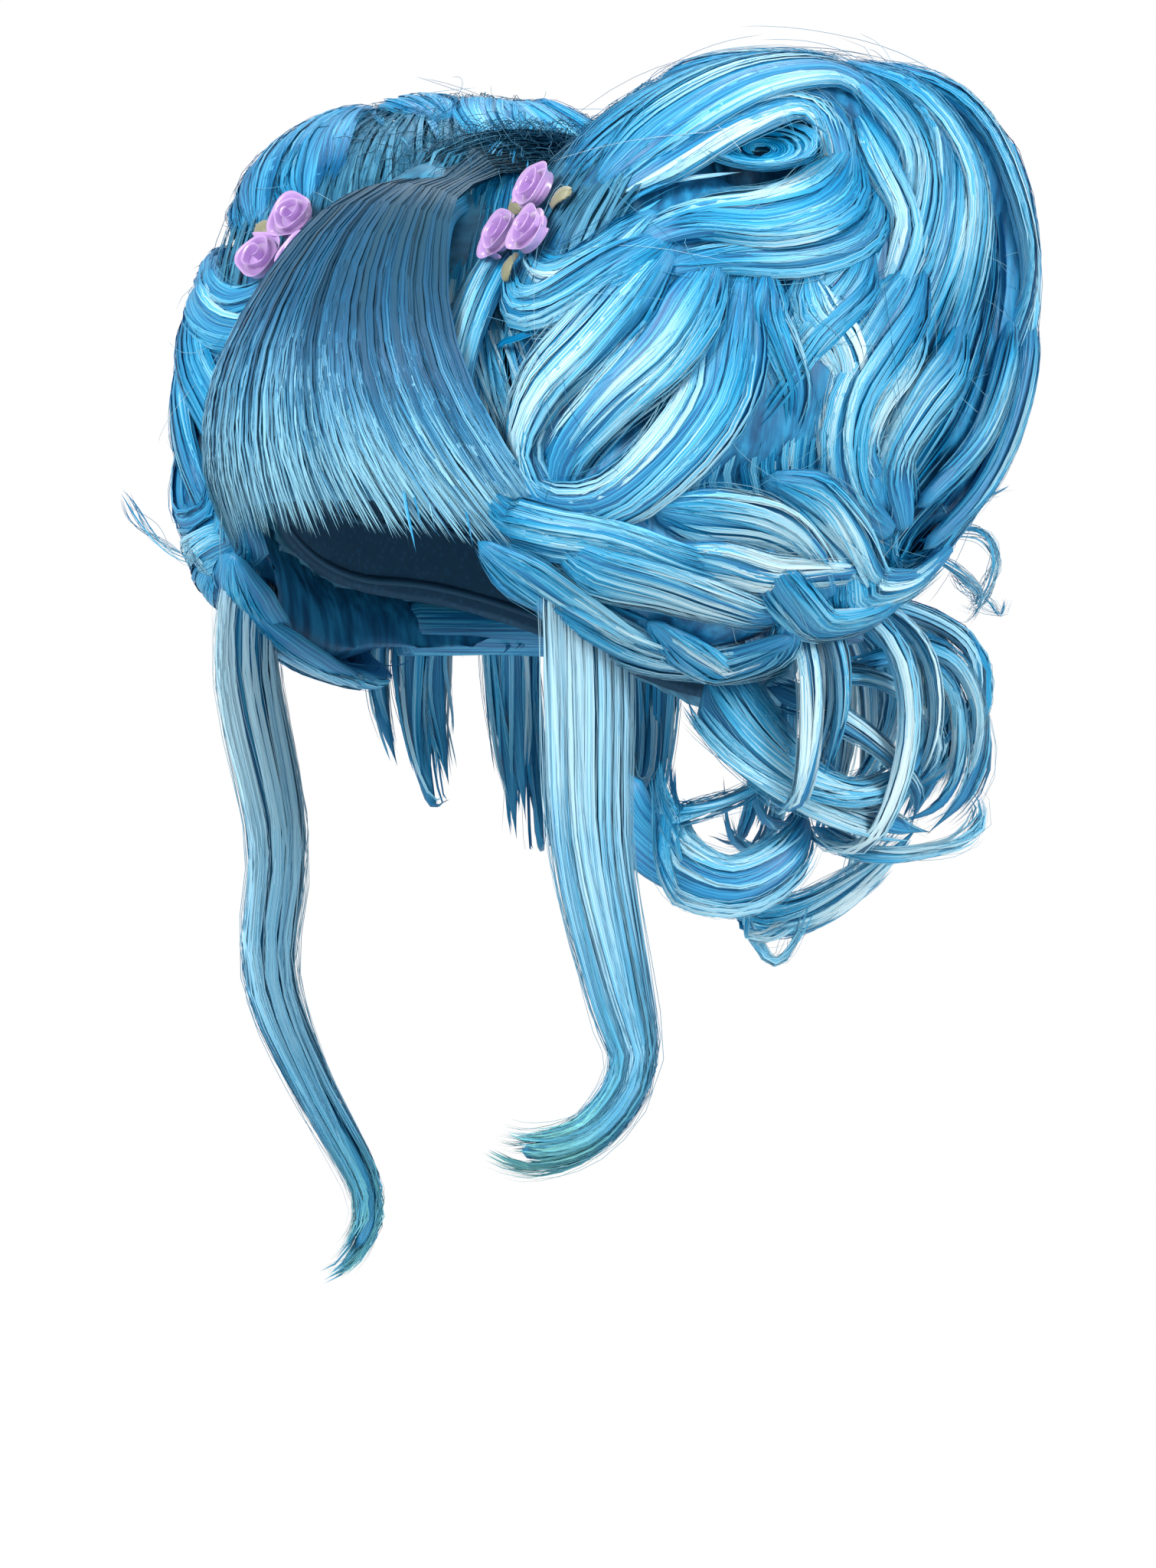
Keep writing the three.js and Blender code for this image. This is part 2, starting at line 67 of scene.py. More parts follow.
def rampOf(nodes, stops):
    ramp = nodes.new("ShaderNodeValToRGB")
    ramp.color_ramp.elements[0].position, ramp.color_ramp.elements[0].color = stops[0][0], paint(stops[0][1])
    ramp.color_ramp.elements[1].position, ramp.color_ramp.elements[1].color = stops[-1][0], paint(stops[-1][1])
    for place, colour in stops[1:-1]:
        ramp.color_ramp.elements.new(place).color = paint(colour)
    return ramp


# Hair strands: each carries its own tone, fine fibres are drawn out along it, and a soft noise shades patches
def strandMaterial(name, stops, roughness):
    material, nodes, links, shader = newMaterial(name, roughness)
    tone, seed = nodes.new("ShaderNodeAttribute"), nodes.new("ShaderNodeAttribute")
    tone.attribute_name, seed.attribute_name = "tone", "seed"
    place = nodes.new("ShaderNodeTexCoord")
    patches = nodes.new("ShaderNodeTexNoise")
    patches.inputs["Scale"].default_value = 24.0
    mapping = nodes.new("ShaderNodeMapping")
    mapping.inputs["Scale"].default_value = (1.5, 34, 1)
    fibres = nodes.new("ShaderNodeTexNoise")
    fibres.noise_dimensions = "4D"
    fibres.inputs["Scale"].default_value = 1.0
    patched, total = nodes.new("ShaderNodeMath"), nodes.new("ShaderNodeMath")
    for step, share in ((patched, 0.4), (total, 2.0)):
        step.operation = "MULTIPLY_ADD"
        step.inputs[1].default_value = share
    centred = nodes.new("ShaderNodeMath")
    centred.operation = "SUBTRACT"
    centred.inputs[1].default_value = 1.2
    ramp = rampOf(nodes, stops)
    bump = nodes.new("ShaderNodeBump")
    bump.inputs["Distance"].default_value = 0.2 * mm
    links.new(place.outputs["Object"], patches.inputs["Vector"])
    links.new(place.outputs["UV"], mapping.inputs["Vector"])
    links.new(mapping.outputs["Vector"], fibres.inputs["Vector"])
    links.new(seed.outputs["Fac"], fibres.inputs["W"])
    links.new(patches.outputs["Fac"], patched.inputs[0])
    links.new(tone.outputs["Fac"], patched.inputs[2])
    links.new(fibres.outputs["Fac"], total.inputs[0])
    links.new(patched.outputs["Value"], total.inputs[2])
    links.new(total.outputs["Value"], centred.inputs[0])
    links.new(centred.outputs["Value"], ramp.inputs["Fac"])
    links.new(ramp.outputs["Color"], shader.inputs["Base Color"])
    links.new(fibres.outputs["Fac"], bump.inputs["Height"])
    links.new(bump.outputs["Normal"], shader.inputs["Normal"])
    shader.inputs["Specular IOR Level"].default_value = 0.25
    return material


# Hair bodies under the strands: streaks drawn out along the lock, which also groove it
def bodyMaterial(name, stops, scale, roughness, coordinate, bumpDepth):
    material, nodes, links, shader = newMaterial(name, roughness)
    place = nodes.new("ShaderNodeTexCoord")
    mapping = nodes.new("ShaderNodeMapping")
    mapping.inputs["Scale"].default_value = scale
    streaks = nodes.new("ShaderNodeTexNoise")
    streaks.inputs["Scale"].default_value = 1.0
    streaks.inputs["Detail"].default_value = 3.0
    ramp = rampOf(nodes, stops)
    bump = nodes.new("ShaderNodeBump")
    bump.inputs["Distance"].default_value = bumpDepth * mm
    links.new(place.outputs[coordinate], mapping.inputs["Vector"])
    links.new(mapping.outputs["Vector"], streaks.inputs["Vector"])
    links.new(streaks.outputs["Fac"], ramp.inputs["Fac"])
    links.new(ramp.outputs["Color"], shader.inputs["Base Color"])
    links.new(streaks.outputs["Fac"], bump.inputs["Height"])
    links.new(bump.outputs["Normal"], shader.inputs["Normal"])
    return material


# The pale top of the puff ramp is painted highlight, reached where the painted light on a lock lifts its middle
puffTones = [(0, "005c90"), (0.3, "008bc4"), (0.56, "40b4e0"), (0.8, "aadff0"), (1, "e0f6fb")]
# The fringe ramp holds painted light: dark grey teal for the roots at the parting, painted shade where the top is lit
# less, and a pale band near its foot, a painted highlight on the front bulge
fringeShadeAndHighlightTones = [(0, "244f66"), (0.3, "21567a"), (0.55, "1e6592"), (0.72, "3d9ccc"), (0.88, "a0def4"), (1, "9ad8ee")]
tendrilTones = [(0, "c0eafa"), (0.35, "8fd4f2"), (0.6, "47a2d0"), (0.8, "3f9fc4"), (1, "93e2dc")]
# The crown ramp is a darker grey teal than the puffs: painted shade for the top of the hair, which is lit less
crownShadeTones = [(0, "175373"), (0.5, "28769c"), (1, "66b0d0")]
deepTones = [(0.38, "0e6298"), (0.5, "1c88be"), (0.62, "46b0da")]

strandHair = strandMaterial("strandHair", puffTones, 0.34)
fringeStrandHair = strandMaterial("fringeStrandHair", fringeShadeAndHighlightTones, 0.36)
tendrilStrandHair = strandMaterial("tendrilStrandHair", tendrilTones, 0.3)
crownStrandHair = strandMaterial("crownStrandHair", crownShadeTones, 0.36)
lockHair = bodyMaterial("lockHair", deepTones, (2, 80, 1), 0.4, "UV", 0.3)
baseHair = bodyMaterial("baseHair", [(0.35, "0c5480"), (0.5, "1672a3"), (0.65, "2a93c4")], (240, 240, 26), 0.5, "Object", 0.6)
crownBaseHair = bodyMaterial("crownBaseHair", [(0.35, "1a6385"), (0.65, "3288ac")], (260, 50, 260), 0.5, "Object",
                             0.5)
sheetHair = bodyMaterial("sheetHair", [(0.35, "1f7aa8"), (0.65, "49b0dc")], (240, 1.4, 1), 0.34, "UV", 0.4)


# Paths, frames and pieces

def onPath(points, count):  # an even, smooth path through a few points
    points = np.array(points, float)
    n = len(points)
    padded = np.vstack([2 * points[0] - points[1], points, 2 * points[-1] - points[-2]])
    t = np.linspace(0, n - 1, 24 * n)
    i = np.minimum(t.astype(int), n - 2)
    u = (t - i)[:, None]
    a, b, c, d = (padded[i + k] for k in range(4))
    fine = 0.5 * (2 * b + (c - a) * u + (2 * a - 5 * b + 4 * c - d) * u**2 + (3 * b - a - 3 * c + d) * u**3)
    walked = np.r_[0, np.cumsum(np.linalg.norm(np.diff(fine, axis=0), axis=1))]
    even = np.linspace(0, walked[-1], count)
    return np.stack([np.interp(even, walked, fine[:, k]) for k in range(fine.shape[1])], 1)


def unit(vectors):
    return vectors / np.maximum(np.linalg.norm(vectors, axis=-1, keepdims=True), 1e-9)


def eased(share):
    held = np.clip(share, 0, 1)
    return held * held * (3 - 2 * held)


def frameAlong(path, centre):  # sideways and outward directions at each step of a path
    along = unit(np.gradient(path, axis=0))
    outward = path - centre
    outward = unit(outward - along * (outward * along).sum(1, keepdims=True))
    return np.cross(outward, along), outward


def addPiece(name, mesh, material, replaced=()):
    mesh.name = name
    if not mesh.materials:
        mesh.materials.append(material)
    mesh.shade_smooth()
    piece = bpy.data.objects.new(name, mesh)
    bpy.context.collection.objects.link(piece)
    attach(piece, "root")
    if replaced:
        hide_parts(*replaced)
    return piece


def newShape():
    bm = bmesh.new()
    bm.loops.layers.uv.new("UVMap")
    return bm


def meshFrom(bm):
    mesh = bpy.data.meshes.new("shape")
    bmesh.ops.recalc_face_normals(bm, faces=bm.faces)
    bm.to_mesh(mesh)
    bm.free()
    return mesh


# The laid hair on the cap, and the way for the head below it. Hair is moved out of them, by a margin.
head = {"halfWidth": 83, "halfLength": 102, "height": 102, "centreHeight": -95, "wayHalfWidth": 66,
        "wayHalfLength": 82, "wayShift": -10, "wayFrom": -112, "wayTo": -160}


def keptOut(points, margin):
    low = eased((head["wayFrom"] - points[..., 2]) / (head["wayFrom"] - head["wayTo"]))
    halfWidth = head["halfWidth"] * (1 - low) + head["wayHalfWidth"] * low + margin
    halfLength = head["halfLength"] * (1 - low) + head["wayHalfLength"] * low + margin
    shift = head["wayShift"] * low
    up = np.maximum(points[..., 2] - head["centreHeight"], 0) / (head["height"] + margin)
    away = np.stack([points[..., 0] / halfWidth, (points[..., 1] - shift) / halfLength, up], -1)
    scale = 1 / np.clip(np.linalg.norm(away, axis=-1), 0.35, 1)
    moved = points.copy()
    moved[..., 0] *= scale
    moved[..., 1] = (points[..., 1] - shift) * scale + shift
    above = points[..., 2] > head["centreHeight"]
    raised = (points[..., 2] - head["centreHeight"]) * scale + head["centreHeight"]
    moved[..., 2] = np.where(above, raised, points[..., 2])
    return moved


# A grooved lock body: a grid bent round the path, with its ends drawn to a point
def addLockBody(bm, path, sides, widths, depths, grooves):
    sideways, outward = sides
    grid = bmesh.ops.create_grid(bm, x_segments=len(path) - 1, y_segments=14, size=0.5, calc_uvs=True)["verts"]
    for vert in grid:
        share, angle = vert.co.x + 0.5, 2 * math.pi * (vert.co.y + 0.5)
        k = int(round(share * (len(path) - 1)))
        groove = 1 + 0.13 * math.cos(grooves * angle + 3 * share)
        across = sideways[k] * (math.cos(angle) * groove * widths[k] / 2)
        vert.co = Vector((path[k] + across + outward[k] * (math.sin(angle) * groove * depths[k] / 2)) * mm)
    bmesh.ops.remove_doubles(bm, verts=grid, dist=1e-7)


# Strands on a lock, as ribbons and then as threads. They gather in groups, each with its own sway, tone and end.
# Each of the two results is their points, their half widths, their tones and the way they face.
def lockStrands(path, sides, widths, depths, counts, look, tone):
    sideways, outward = sides
    groups = look["groups"]
    groupTurn = np.linspace(-look["wrap"], math.pi + look["wrap"], groups) + dice.normal(0, 0.1, groups)
    groupTone, groupEnd = dice.normal(0, look["toneSpread"], groups), dice.uniform(0, look["endSpread"], groups)
    groupWaves, groupPhase = dice.uniform(0.7, 1.7, groups), dice.random(groups)
    groupDrift = dice.normal(0, look["fray"], (groups, 2))
    results = []
    for kind, count in zip(("ribbon", "thread"), counts):
        of = dice.integers(0, groups, (count, 1))
        apart = look[kind + "Apart"]
        angle = groupTurn[of] + apart * dice.normal(0, 1, (count, 1))
        reach = dice.uniform(0.9, 1.04 if kind == "ribbon" else 1.16, (count, 1))
        start = dice.uniform(0, look["startSpread"], (count, 1))
        end = 1 - groupEnd[of] - dice.uniform(0, 0.4 * look["endSpread"], (count, 1))
        along = np.linspace(0, 1, look["steps"])
        share = start + (end - start) * along
        at = share * (len(path) - 1)
        low = np.minimum(at.astype(int), len(path) - 2)
        part = at - low

        def pick(values):
            kept = part if values.ndim == 1 else part[..., None]
            return values[low] * (1 - kept) + values[low + 1] * kept

        wide, deep = pick(widths), pick(depths)
        phase = groupPhase[of] + 0.12 * dice.normal(0, 1, (count, 1))
        sway = look["sway"] * (1 if kind == "ribbon" else dice.uniform(0.5, 3, (count, 1)))
        across = np.cos(angle) * reach * wide / 2 + sway * np.sin(2 * math.pi * (share * groupWaves[of] + phase))
        fray = share**2.5 * (1 if kind == "thread" else 0.6)
        across += fray * (groupDrift[of, 0] + 0.7 * look["fray"] * dice.normal(0, 1, (count, 1)))
        out = np.sin(angle) * reach * deep / 2
        out += 0.5 * fray * (groupDrift[of, 1] + look["fray"] * dice.normal(0, 1, (count, 1)))
        points = pick(path) + pick(sideways) * across[..., None] + pick(outward) * out[..., None]
        normals = pick(sideways) * (np.cos(angle) * deep)[..., None]
        normals += pick(outward) * (np.sin(angle) * wide + 1e-6)[..., None]
        radii = look[kind] * dice.uniform(0.7, 1.25, (count, 1)) * (1 - 0.75 * along**3) * np.minimum(1, 0.15 + 5 * along)
        tones = tone + groupTone[of] + 0.05 * dice.normal(0, 1, (count, 1)) + look["toneFall"] * (along - 0.5)
        # Painted light: the tone is raised in the middle of each lock, a painted highlight where its bulge would catch
        # the light, and lowered towards both ends as painted shade
        tones += look["paintedLight"] * (np.sin(math.pi * share) ** 2 - 0.5)
        results.append((keptOut(points, 0.5), radii, tones, normals))
    return results


# The three corners of a strand's section, across it and out from the hair, and the first of them again
strandSections = {"ribbon": [(-1, 0), (1, 0), (0, -0.25), (-1, 0)],
                  "thread": [(-0.87, 0.5), (0.87, 0.5), (0, -1), (-0.87, 0.5)]}


# One piece of many strands, flat ribbons or round threads. A single grid is bent round all of them, cut between
# one strand and the next, and closed along each. Its UV runs along and round.
def addStrands(name, bundles, material, kind="thread"):
    corner = np.array(strandSections[kind])
    sides = len(corner) - 1
    rings, tones, shares, lengths = [], [], [], []
    for points, radii, shades, normals in bundles:
        count, steps = points.shape[:2]
        along = unit(np.gradient(points, axis=1))
        outward = unit(normals - along * (normals * along).sum(-1, keepdims=True))
        sideways = np.cross(outward, along)
        closed = np.maximum(radii, 0.04) * np.r_[0, np.ones(steps - 2), 0]
        section = corner[:, 0:1] * sideways[..., None, :] + corner[:, 1:2] * outward[..., None, :]
        ring = points[..., None, :] + closed[..., None, None] * section
        rings.append(ring.reshape(count * steps, sides + 1, 3).transpose(1, 0, 2))
        tones.append((shades + 0 * radii).ravel())
        shares.append(np.tile(np.linspace(0, 1, steps), count))
        lengths += [steps] * count
    rings, tones, shares = np.concatenate(rings, 1), np.concatenate(tones), np.concatenate(shares)
    total = len(tones)
    bm = bmesh.new()
    bmesh.ops.create_grid(bm, x_segments=total - 1, y_segments=sides, size=1)
    bm.faces.ensure_lookup_table()
    lastPlaces = np.cumsum(lengths)[:-1] - 1
    between = [bm.faces[int(place + row * (total - 1))] for row in range(sides) for place in lastPlaces]
    bmesh.ops.delete(bm, geom=between, context="FACES")
    mesh = bpy.data.meshes.new(name)
    bm.to_mesh(mesh)
    bm.free()
    mesh.vertices.foreach_set("co", (rings * mm).ravel())
    seeds = np.repeat(60 * dice.random(len(lengths)), lengths)
    mesh.attributes.new("tone", "FLOAT", "POINT").data.foreach_set("value", np.tile(tones, sides + 1))
    mesh.attributes.new("seed", "FLOAT", "POINT").data.foreach_set("value", np.tile(seeds, sides + 1))
    loopVerts, edgeVerts = np.empty(len(mesh.loops), int), np.empty(2 * len(mesh.edges), int)
    mesh.loops.foreach_get("vertex_index", loopVerts)
    places = np.stack([shares[loopVerts % total], (loopVerts // total) / sides], 1)
    mesh.uv_layers.new(name="UVMap").uv.foreach_set("vector", places.ravel())
    mesh.edges.foreach_get("vertices", edgeVerts)
    rows = edgeVerts.reshape(-1, 2) // total
    if kind == "ribbon":  # a ribbon is flat across and smooth along
        sharp = mesh.attributes.new("sharp_edge", "BOOLEAN", "EDGE")
        sharp.data.foreach_set("value", rows[:, 0] == rows[:, 1])
    bm = bmesh.new()
    bm.from_mesh(mesh)
    bmesh.ops.remove_doubles(bm, verts=bm.verts, dist=1e-7)
    if bm.calc_volume(signed=True) < 0:
        bmesh.ops.reverse_faces(bm, faces=bm.faces)
    bm.to_mesh(mesh)
    bm.free()
    piece = addPiece(name, mesh, material)
    print(name, "triangles:", sum(len(p.vertices) - 2 for p in mesh.polygons))
    return piece


# Ribbons and threads of one part of the hair, from the pairs that lockStrands makes
def addHair(name, pairs, material):
    addStrands(name + "Ribbons", [pair[0] for pair in pairs], material, "ribbon")
    addStrands(name + "Threads", [pair[1] for pair in pairs], material, "thread")


# A smooth body under the strands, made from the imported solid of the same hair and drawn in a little
def addBase(name, nodeNames, material, voxel, rounds, sink):
    bm = bmesh.new()
    for nodeName in nodeNames:
        bm.from_mesh(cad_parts[nodeName].data)
    bmesh.ops.remove_doubles(bm, verts=bm.verts, dist=1e-6)
    mesh = bpy.data.meshes.new(name)
    bm.to_mesh(mesh)
    bm.free()
    mesh.materials.clear()
    piece = addPiece(name, mesh, material, nodeNames)
    remesh = piece.modifiers.new("remesh", "REMESH")
    remesh.mode = "VOXEL"
    remesh.voxel_size = voxel * mm
    remesh.use_smooth_shade = True
    smooth = piece.modifiers.new("smooth", "SMOOTH")
    smooth.iterations = rounds
    drawnIn = piece.modifiers.new("drawnIn", "DISPLACE")
    drawnIn.strength = -sink * mm
    drawnIn.mid_level = 0
    return piece


# Side puffs. Each lock is (wide, rows): a share of the lock width, and rows of (turn, lift, rise), which are
# degrees round the puff from its front outward, degrees above its middle, and millimetres off its surface.
sidePuff = {
    "centre": np.array([74, 24, -40]),
    "halfSize": np.array([60, 88, 93]),
    "squareness": 2.5,
    "lean": 0.2,
    "spread": 0.07,
    "lockWidth": 23,
    "lockDepth": 10,
    "lockSink": 3,
    "look": {"steps": 12, "startSpread": 0.18, "endSpread": 0.2, "sway": 0.9, "fray": 1.8, "wrap": 0.3,
             "groups": 7, "ribbon": 1.0, "ribbonApart": 0.2, "thread": 0.12, "threadApart": 0.3,
             "toneSpread": 0.09, "toneFall": 0.1, "paintedLight": 0.32},
    "crest": [
        (1.2, [(-12, 32, 3), (-2, 47, 4), (12, 60, 5), (36, 72, 4)]),
        (1.3, [(2, 30, 4), (14, 44, 6), (30, 58, 7), (56, 66, 7), (80, 62, 6), (92, 46, 4)]),
        (1.0, [(6, 28, 3), (18, 38, 3), (30, 48, 3), (44, 55, 4), (58, 53, 5), (65, 42, 4), (60, 34, 3)]),
        (1.1, [(66, 48, 5), (60, 35, 6), (46, 27, 7), (31, 24, 7), (19, 19, 5)]),
        (0.9, [(78, 44, 4), (70, 30, 5), (54, 22, 6), (38, 18, 6), (25, 14, 4)]),
        (1.2, [(62, 72, 4), (84, 62, 6), (98, 46, 6), (94, 26, 5), (84, 8, 3)]),
        (1.3, [(76, 78, 4), (106, 66, 6), (120, 44, 6), (120, 20, 5), (114, -4, 3)]),
        (1.2, [(110, 80, 4), (132, 62, 6), (138, 36, 7), (146, 12, 6), (136, -14, 4)]),
        (1.0, [(70, 60, 3), (80, 48, 4), (92, 32, 5), (88, 14, 4), (80, -2, 3)]),
        (1.1, [(100, 70, 4), (112, 52, 5), (108, 30, 5), (102, 10, 4), (98, -8, 3)]),
        (1.2, [(-40, 62, 3), (-20, 70, 4), (20, 78, 4), (80, 82, 3)]),
        (1.1, [(-60, 50, 3), (-62, 64, 3), (-90, 76, 3), (-150, 78, 3)]),
    ],
    "middle": [
        (0.8, [(27, 22, 5), (18, 15, 6), (4, 8, 6), (-8, 8, 5), (-16, 16, 4), (-14, 26, 3)]),
        (0.7, [(22, 26, 4), (14, 18, 4), (2, 14, 4), (-8, 18, 3), (-8, 26, 3)]),
        (1.0, [(27, 20, 5), (20, 9, 6), (13, 0, 6), (4, -9, 5), (0, -20, 4), (8, -30, 4), (22, -34, 4)]),
        (1.0, [(36, 19, 5), (33, 8, 6), (29, -2, 6), (20, -12, 5), (12, -22, 5), (10, -33, 3)]),
        (1.0, [(46, 18, 5), (46, 6, 6), (52, -3, 6), (58, -12, 5), (60, -24, 3)]),
        (1.1, [(42, 16, 6), (42, 0, 7), (42, -12, 7), (35, -23, 7), (22, -31, 6), (6, -29, 5), (0, -20, 5)]),
        (1.0, [(57, 19, 5), (60, 8, 6), (70, 0, 6), (76, -10, 5), (74, -24, 3)]),
        (1.0, [(75, 28, 5), (70, 18, 6), (60, 5, 6), (55, -6, 5), (48, -18, 4)]),
        (1.1, [(97, 28, 5), (92, 14, 6), (84, 1, 6), (77, -12, 6), (79, -27, 6), (92, -39, 6), (114, -44, 7)]),
        (0.9, [(100, 14, 4), (94, -2, 5), (88, -14, 5), (88, -27, 5), (99, -34, 5)]),
        (1.0, [(118, 10, 4), (116, -4, 5), (108, -16, 5), (104, -30, 5), (118, -42, 7)]),
        (0.8, [(140, 10, 6), (136, -6, 8), (130, -20, 9), (116, -36, 9)]),
        (0.6, [(150, 14, 8), (146, -6, 11), (138, -26, 12), (124, -42, 12)]),
        (1.0, [(-24, 28, 2), (-28, 10, 2), (-25, -12, 3), (-16, -28, 4)]),
        (1.1, [(-44, 38, 2), (-46, 12, 2), (-38, -12, 3), (-24, -32, 3)]),
    ],
    "lower": [
        (1.0, [(-16, -26, 4), (-6, -33, 5), (8, -36, 6), (24, -39, 6), (40, -46, 6), (58, -53, 5)]),
        (1.1, [(-18, -38, 4), (-6, -45, 5), (8, -54, 6), (24, -66, 7), (60, -76, 10)]),
        (1.0, [(6, -36, 4), (18, -43, 6), (34, -49, 6), (52, -57, 6), (74, -63, 6), (96, -58, 8)]),
        (1.0, [(31, -33, 5), (44, -37, 6), (60, -42, 6), (80, -50, 6), (100, -58, 9)]),
        (1.0, [(33, -43, 4), (50, -49, 5), (68, -54, 6), (90, -54, 7), (114, -50, 9)]),
        (1.0, [(56, -32, 4), (72, -38, 5), (90, -46, 6), (112, -52, 9), (132, -46, 12)]),
        (1.1, [(-10, -50, 4), (4, -60, 6), (30, -74, 8), (70, -74, 10), (96, -64, 12)]),
        (0.9, [(30, -58, 6), (44, -70, 8), (70, -78, 10), (100, -72, 10), (80, -58, 10)]),
        (1.0, [(96, -50, 5), (112, -56, 8), (130, -50, 10), (142, -38, 10)]),
        (0.8, [(60, -46, 6), (76, -56, 9), (100, -62, 11), (124, -56, 12), (136, -44, 10)]),
    ],
    "tones": {"left": (0.38, 0.6), "right": (0.24, 0.48)},
    "backTurns": range(158, 226, 16),
    "innerTurns": range(232, 312, 16),
    "strandsLeft": {"crest": (40, 22), "middle": (40, 24), "lower": (38, 22), "back": (26, 8)},
    "strandsRight": {"crest": (28, 14), "middle": (24, 8), "lower": (24, 8), "back": (20, 4)},
    "laidStrands": {"left": (820, 400), "right": (600, 200)},
    "rollPlace": (38, 46), "rollReach": 15, "rollDepth": 5, "rollStrands": (130, 130),
    "veil": {"turns": (-100, 12), "lifts": (-4, 34), "strands": (220, 130)},
    "teased": {"turns": (-150, 10), "lifts": (42, 86), "strands": 440, "rise": 6},
}


def puffPoint(rows):
    turn, lift, rise = np.radians(rows[..., 0]), np.radians(rows[..., 1]), rows[..., 2]
    way = np.stack([np.sin(turn) * np.cos(lift), -np.cos(turn) * np.cos(lift), np.sin(lift)], -1)
    power = sidePuff["squareness"]
    size = (np.abs(way / sidePuff["halfSize"]) ** power).sum(-1) ** (-1 / power)
    point = way * (size + rise)[..., None]
    point[..., 1] += sidePuff["lean"] * point[..., 2]
    point[..., 0] += sidePuff["spread"] * point[..., 2]
    return point + sidePuff["centre"]


def ontoPuff(points, rise):  # the places on the puff, a rise off it, that lie in line with some points
    away = points - sidePuff["centre"]
    away[..., 1] -= sidePuff["lean"] * away[..., 2]
    away[..., 0] -= sidePuff["spread"] * away[..., 2]
    away = unit(away)
    turn, lift = np.arctan2(away[..., 0], -away[..., 1]), np.arcsin(np.clip(away[..., 2], -1, 1))
    return puffPoint(np.stack([np.degrees(turn), np.degrees(lift), rise + 0 * turn], -1))


def lockTaper(path):  # how full a lock is at each step: quick to open, slow to close, a point at both ends
    share = np.linspace(0, 1, len(path))
    full = np.minimum(1, 4 * share + 0.25) * (1 - 0.7 * share**2.2)
    full[[0, -1]] = 0
    return full


# The locks at the back fall in waves, and those over the crown lie down to it
def backLocks():
    locks = []
    for turn in sidePuff["backTurns"]:
        lean = dice.uniform(-6, 6, 6)
        rows = [(turn - 8, 74, 4), (turn + 4, 46, 6), (turn - 6, 16, 6), (turn + 6, -16, 6),
                (turn - 10, -44, 6), (turn + 8, -60, 8)]
        locks.append((1.3, [(row[0] + shift, row[1], row[2]) for row, shift in zip(rows, lean)]))
    for turn in sidePuff["innerTurns"]:
        lean = dice.uniform(-5, 5)
        locks.append((1.2, [(turn + lean, 80, 4), (turn + 6, 66, 5), (turn - 4, 50, 5), (turn + 4, 36, 4)]))
    return locks


# Strands laid between the locks: each follows the direction of the locks near it
def laidStrands(paths, counts, steps, stride):
    samples = np.concatenate([path[::2] for path in paths])
    ways = np.concatenate([unit(np.gradient(path, axis=0))[::2] for path in paths])
    mouth = puffPoint(np.array([*sidePuff["rollPlace"], 0.0]))
    results = []
    for count, radius, high in zip(counts, (1.2, 0.12), (2.6, 5.5)):
        place = np.stack([dice.uniform(-70, 290, count), np.degrees(np.arcsin(dice.uniform(-0.9, 0.98, count))),
                          np.zeros(count)], -1)
        rise = dice.uniform(0.2, high, count)
        here = puffPoint(place)
        going = np.zeros_like(here)
        points = [ontoPuff(here, rise)]
        for step in range(steps - 1):
            apart = ((here[:, None] - samples[None]) ** 2).sum(-1)
            weight = np.exp(-apart / (2 * 9.0**2)) + 1e-12
            going = unit(0.8 * going + weight @ ways / weight.sum(1, keepdims=True))
            here = ontoPuff(here + stride * going, 0)
            points.append(ontoPuff(here, rise))
        points = np.stack(points, 1)
        kept = (inHead(points) < 0.3) & (np.linalg.norm(points - mouth, axis=-1).min(1) > sidePuff["rollReach"])
        points = points[kept]
        along = np.linspace(0, 1, steps)
        radii = radius * dice.uniform(0.7, 1.2, (len(points), 1)) * (1 - 0.75 * along**3) * np.minimum(1, 0.3 + 4 * along)
        tones = dice.normal(0.36, 0.17, (len(points), 1)) + 0 * along
        results.append((keptOut(points, 0.5), radii, tones, points - sidePuff["centre"]))
    return results


# Hair curled round inside the mouth of the front roll, deeper towards its middle
def rollHair():
    mouth = puffPoint(np.array([*sidePuff["rollPlace"], 0.0]))
    outward = unit(mouth - sidePuff["centre"])
    right = unit(np.cross([0, 0, 1], outward))
    up = np.cross(outward, right)
    results = []
    for count, radius, reach in zip(sidePuff["rollStrands"], (1.1, 0.12), (1, 1.25)):
        along = np.linspace(0, 1, 10)
        wide = sidePuff["rollReach"] * reach * np.sqrt(dice.uniform(0.03, 1, (count, 1)))
        turn = dice.uniform(0, 2 * math.pi, (count, 1)) + dice.uniform(1.4, 3.6, (count, 1)) * along
        wide = wide * (1 - 0.35 * along)
        sunk = sidePuff["rollDepth"] * (1 - (wide / sidePuff["rollReach"]) ** 2) + dice.uniform(-1, 2, (count, 1))
        points = (mouth - 3 * up + (1.25 * wide * np.cos(turn))[..., None] * right
                  + (wide * np.sin(turn))[..., None] * up - sunk[..., None] * outward)
        radii = radius * dice.uniform(0.7, 1.2, (count, 1)) * (1 - 0.7 * along**3)
        tones = dice.normal(0.3, 0.14, (count, 1)) + 0 * along
        results.append((points, radii, tones, outward + 0 * points))
    return results


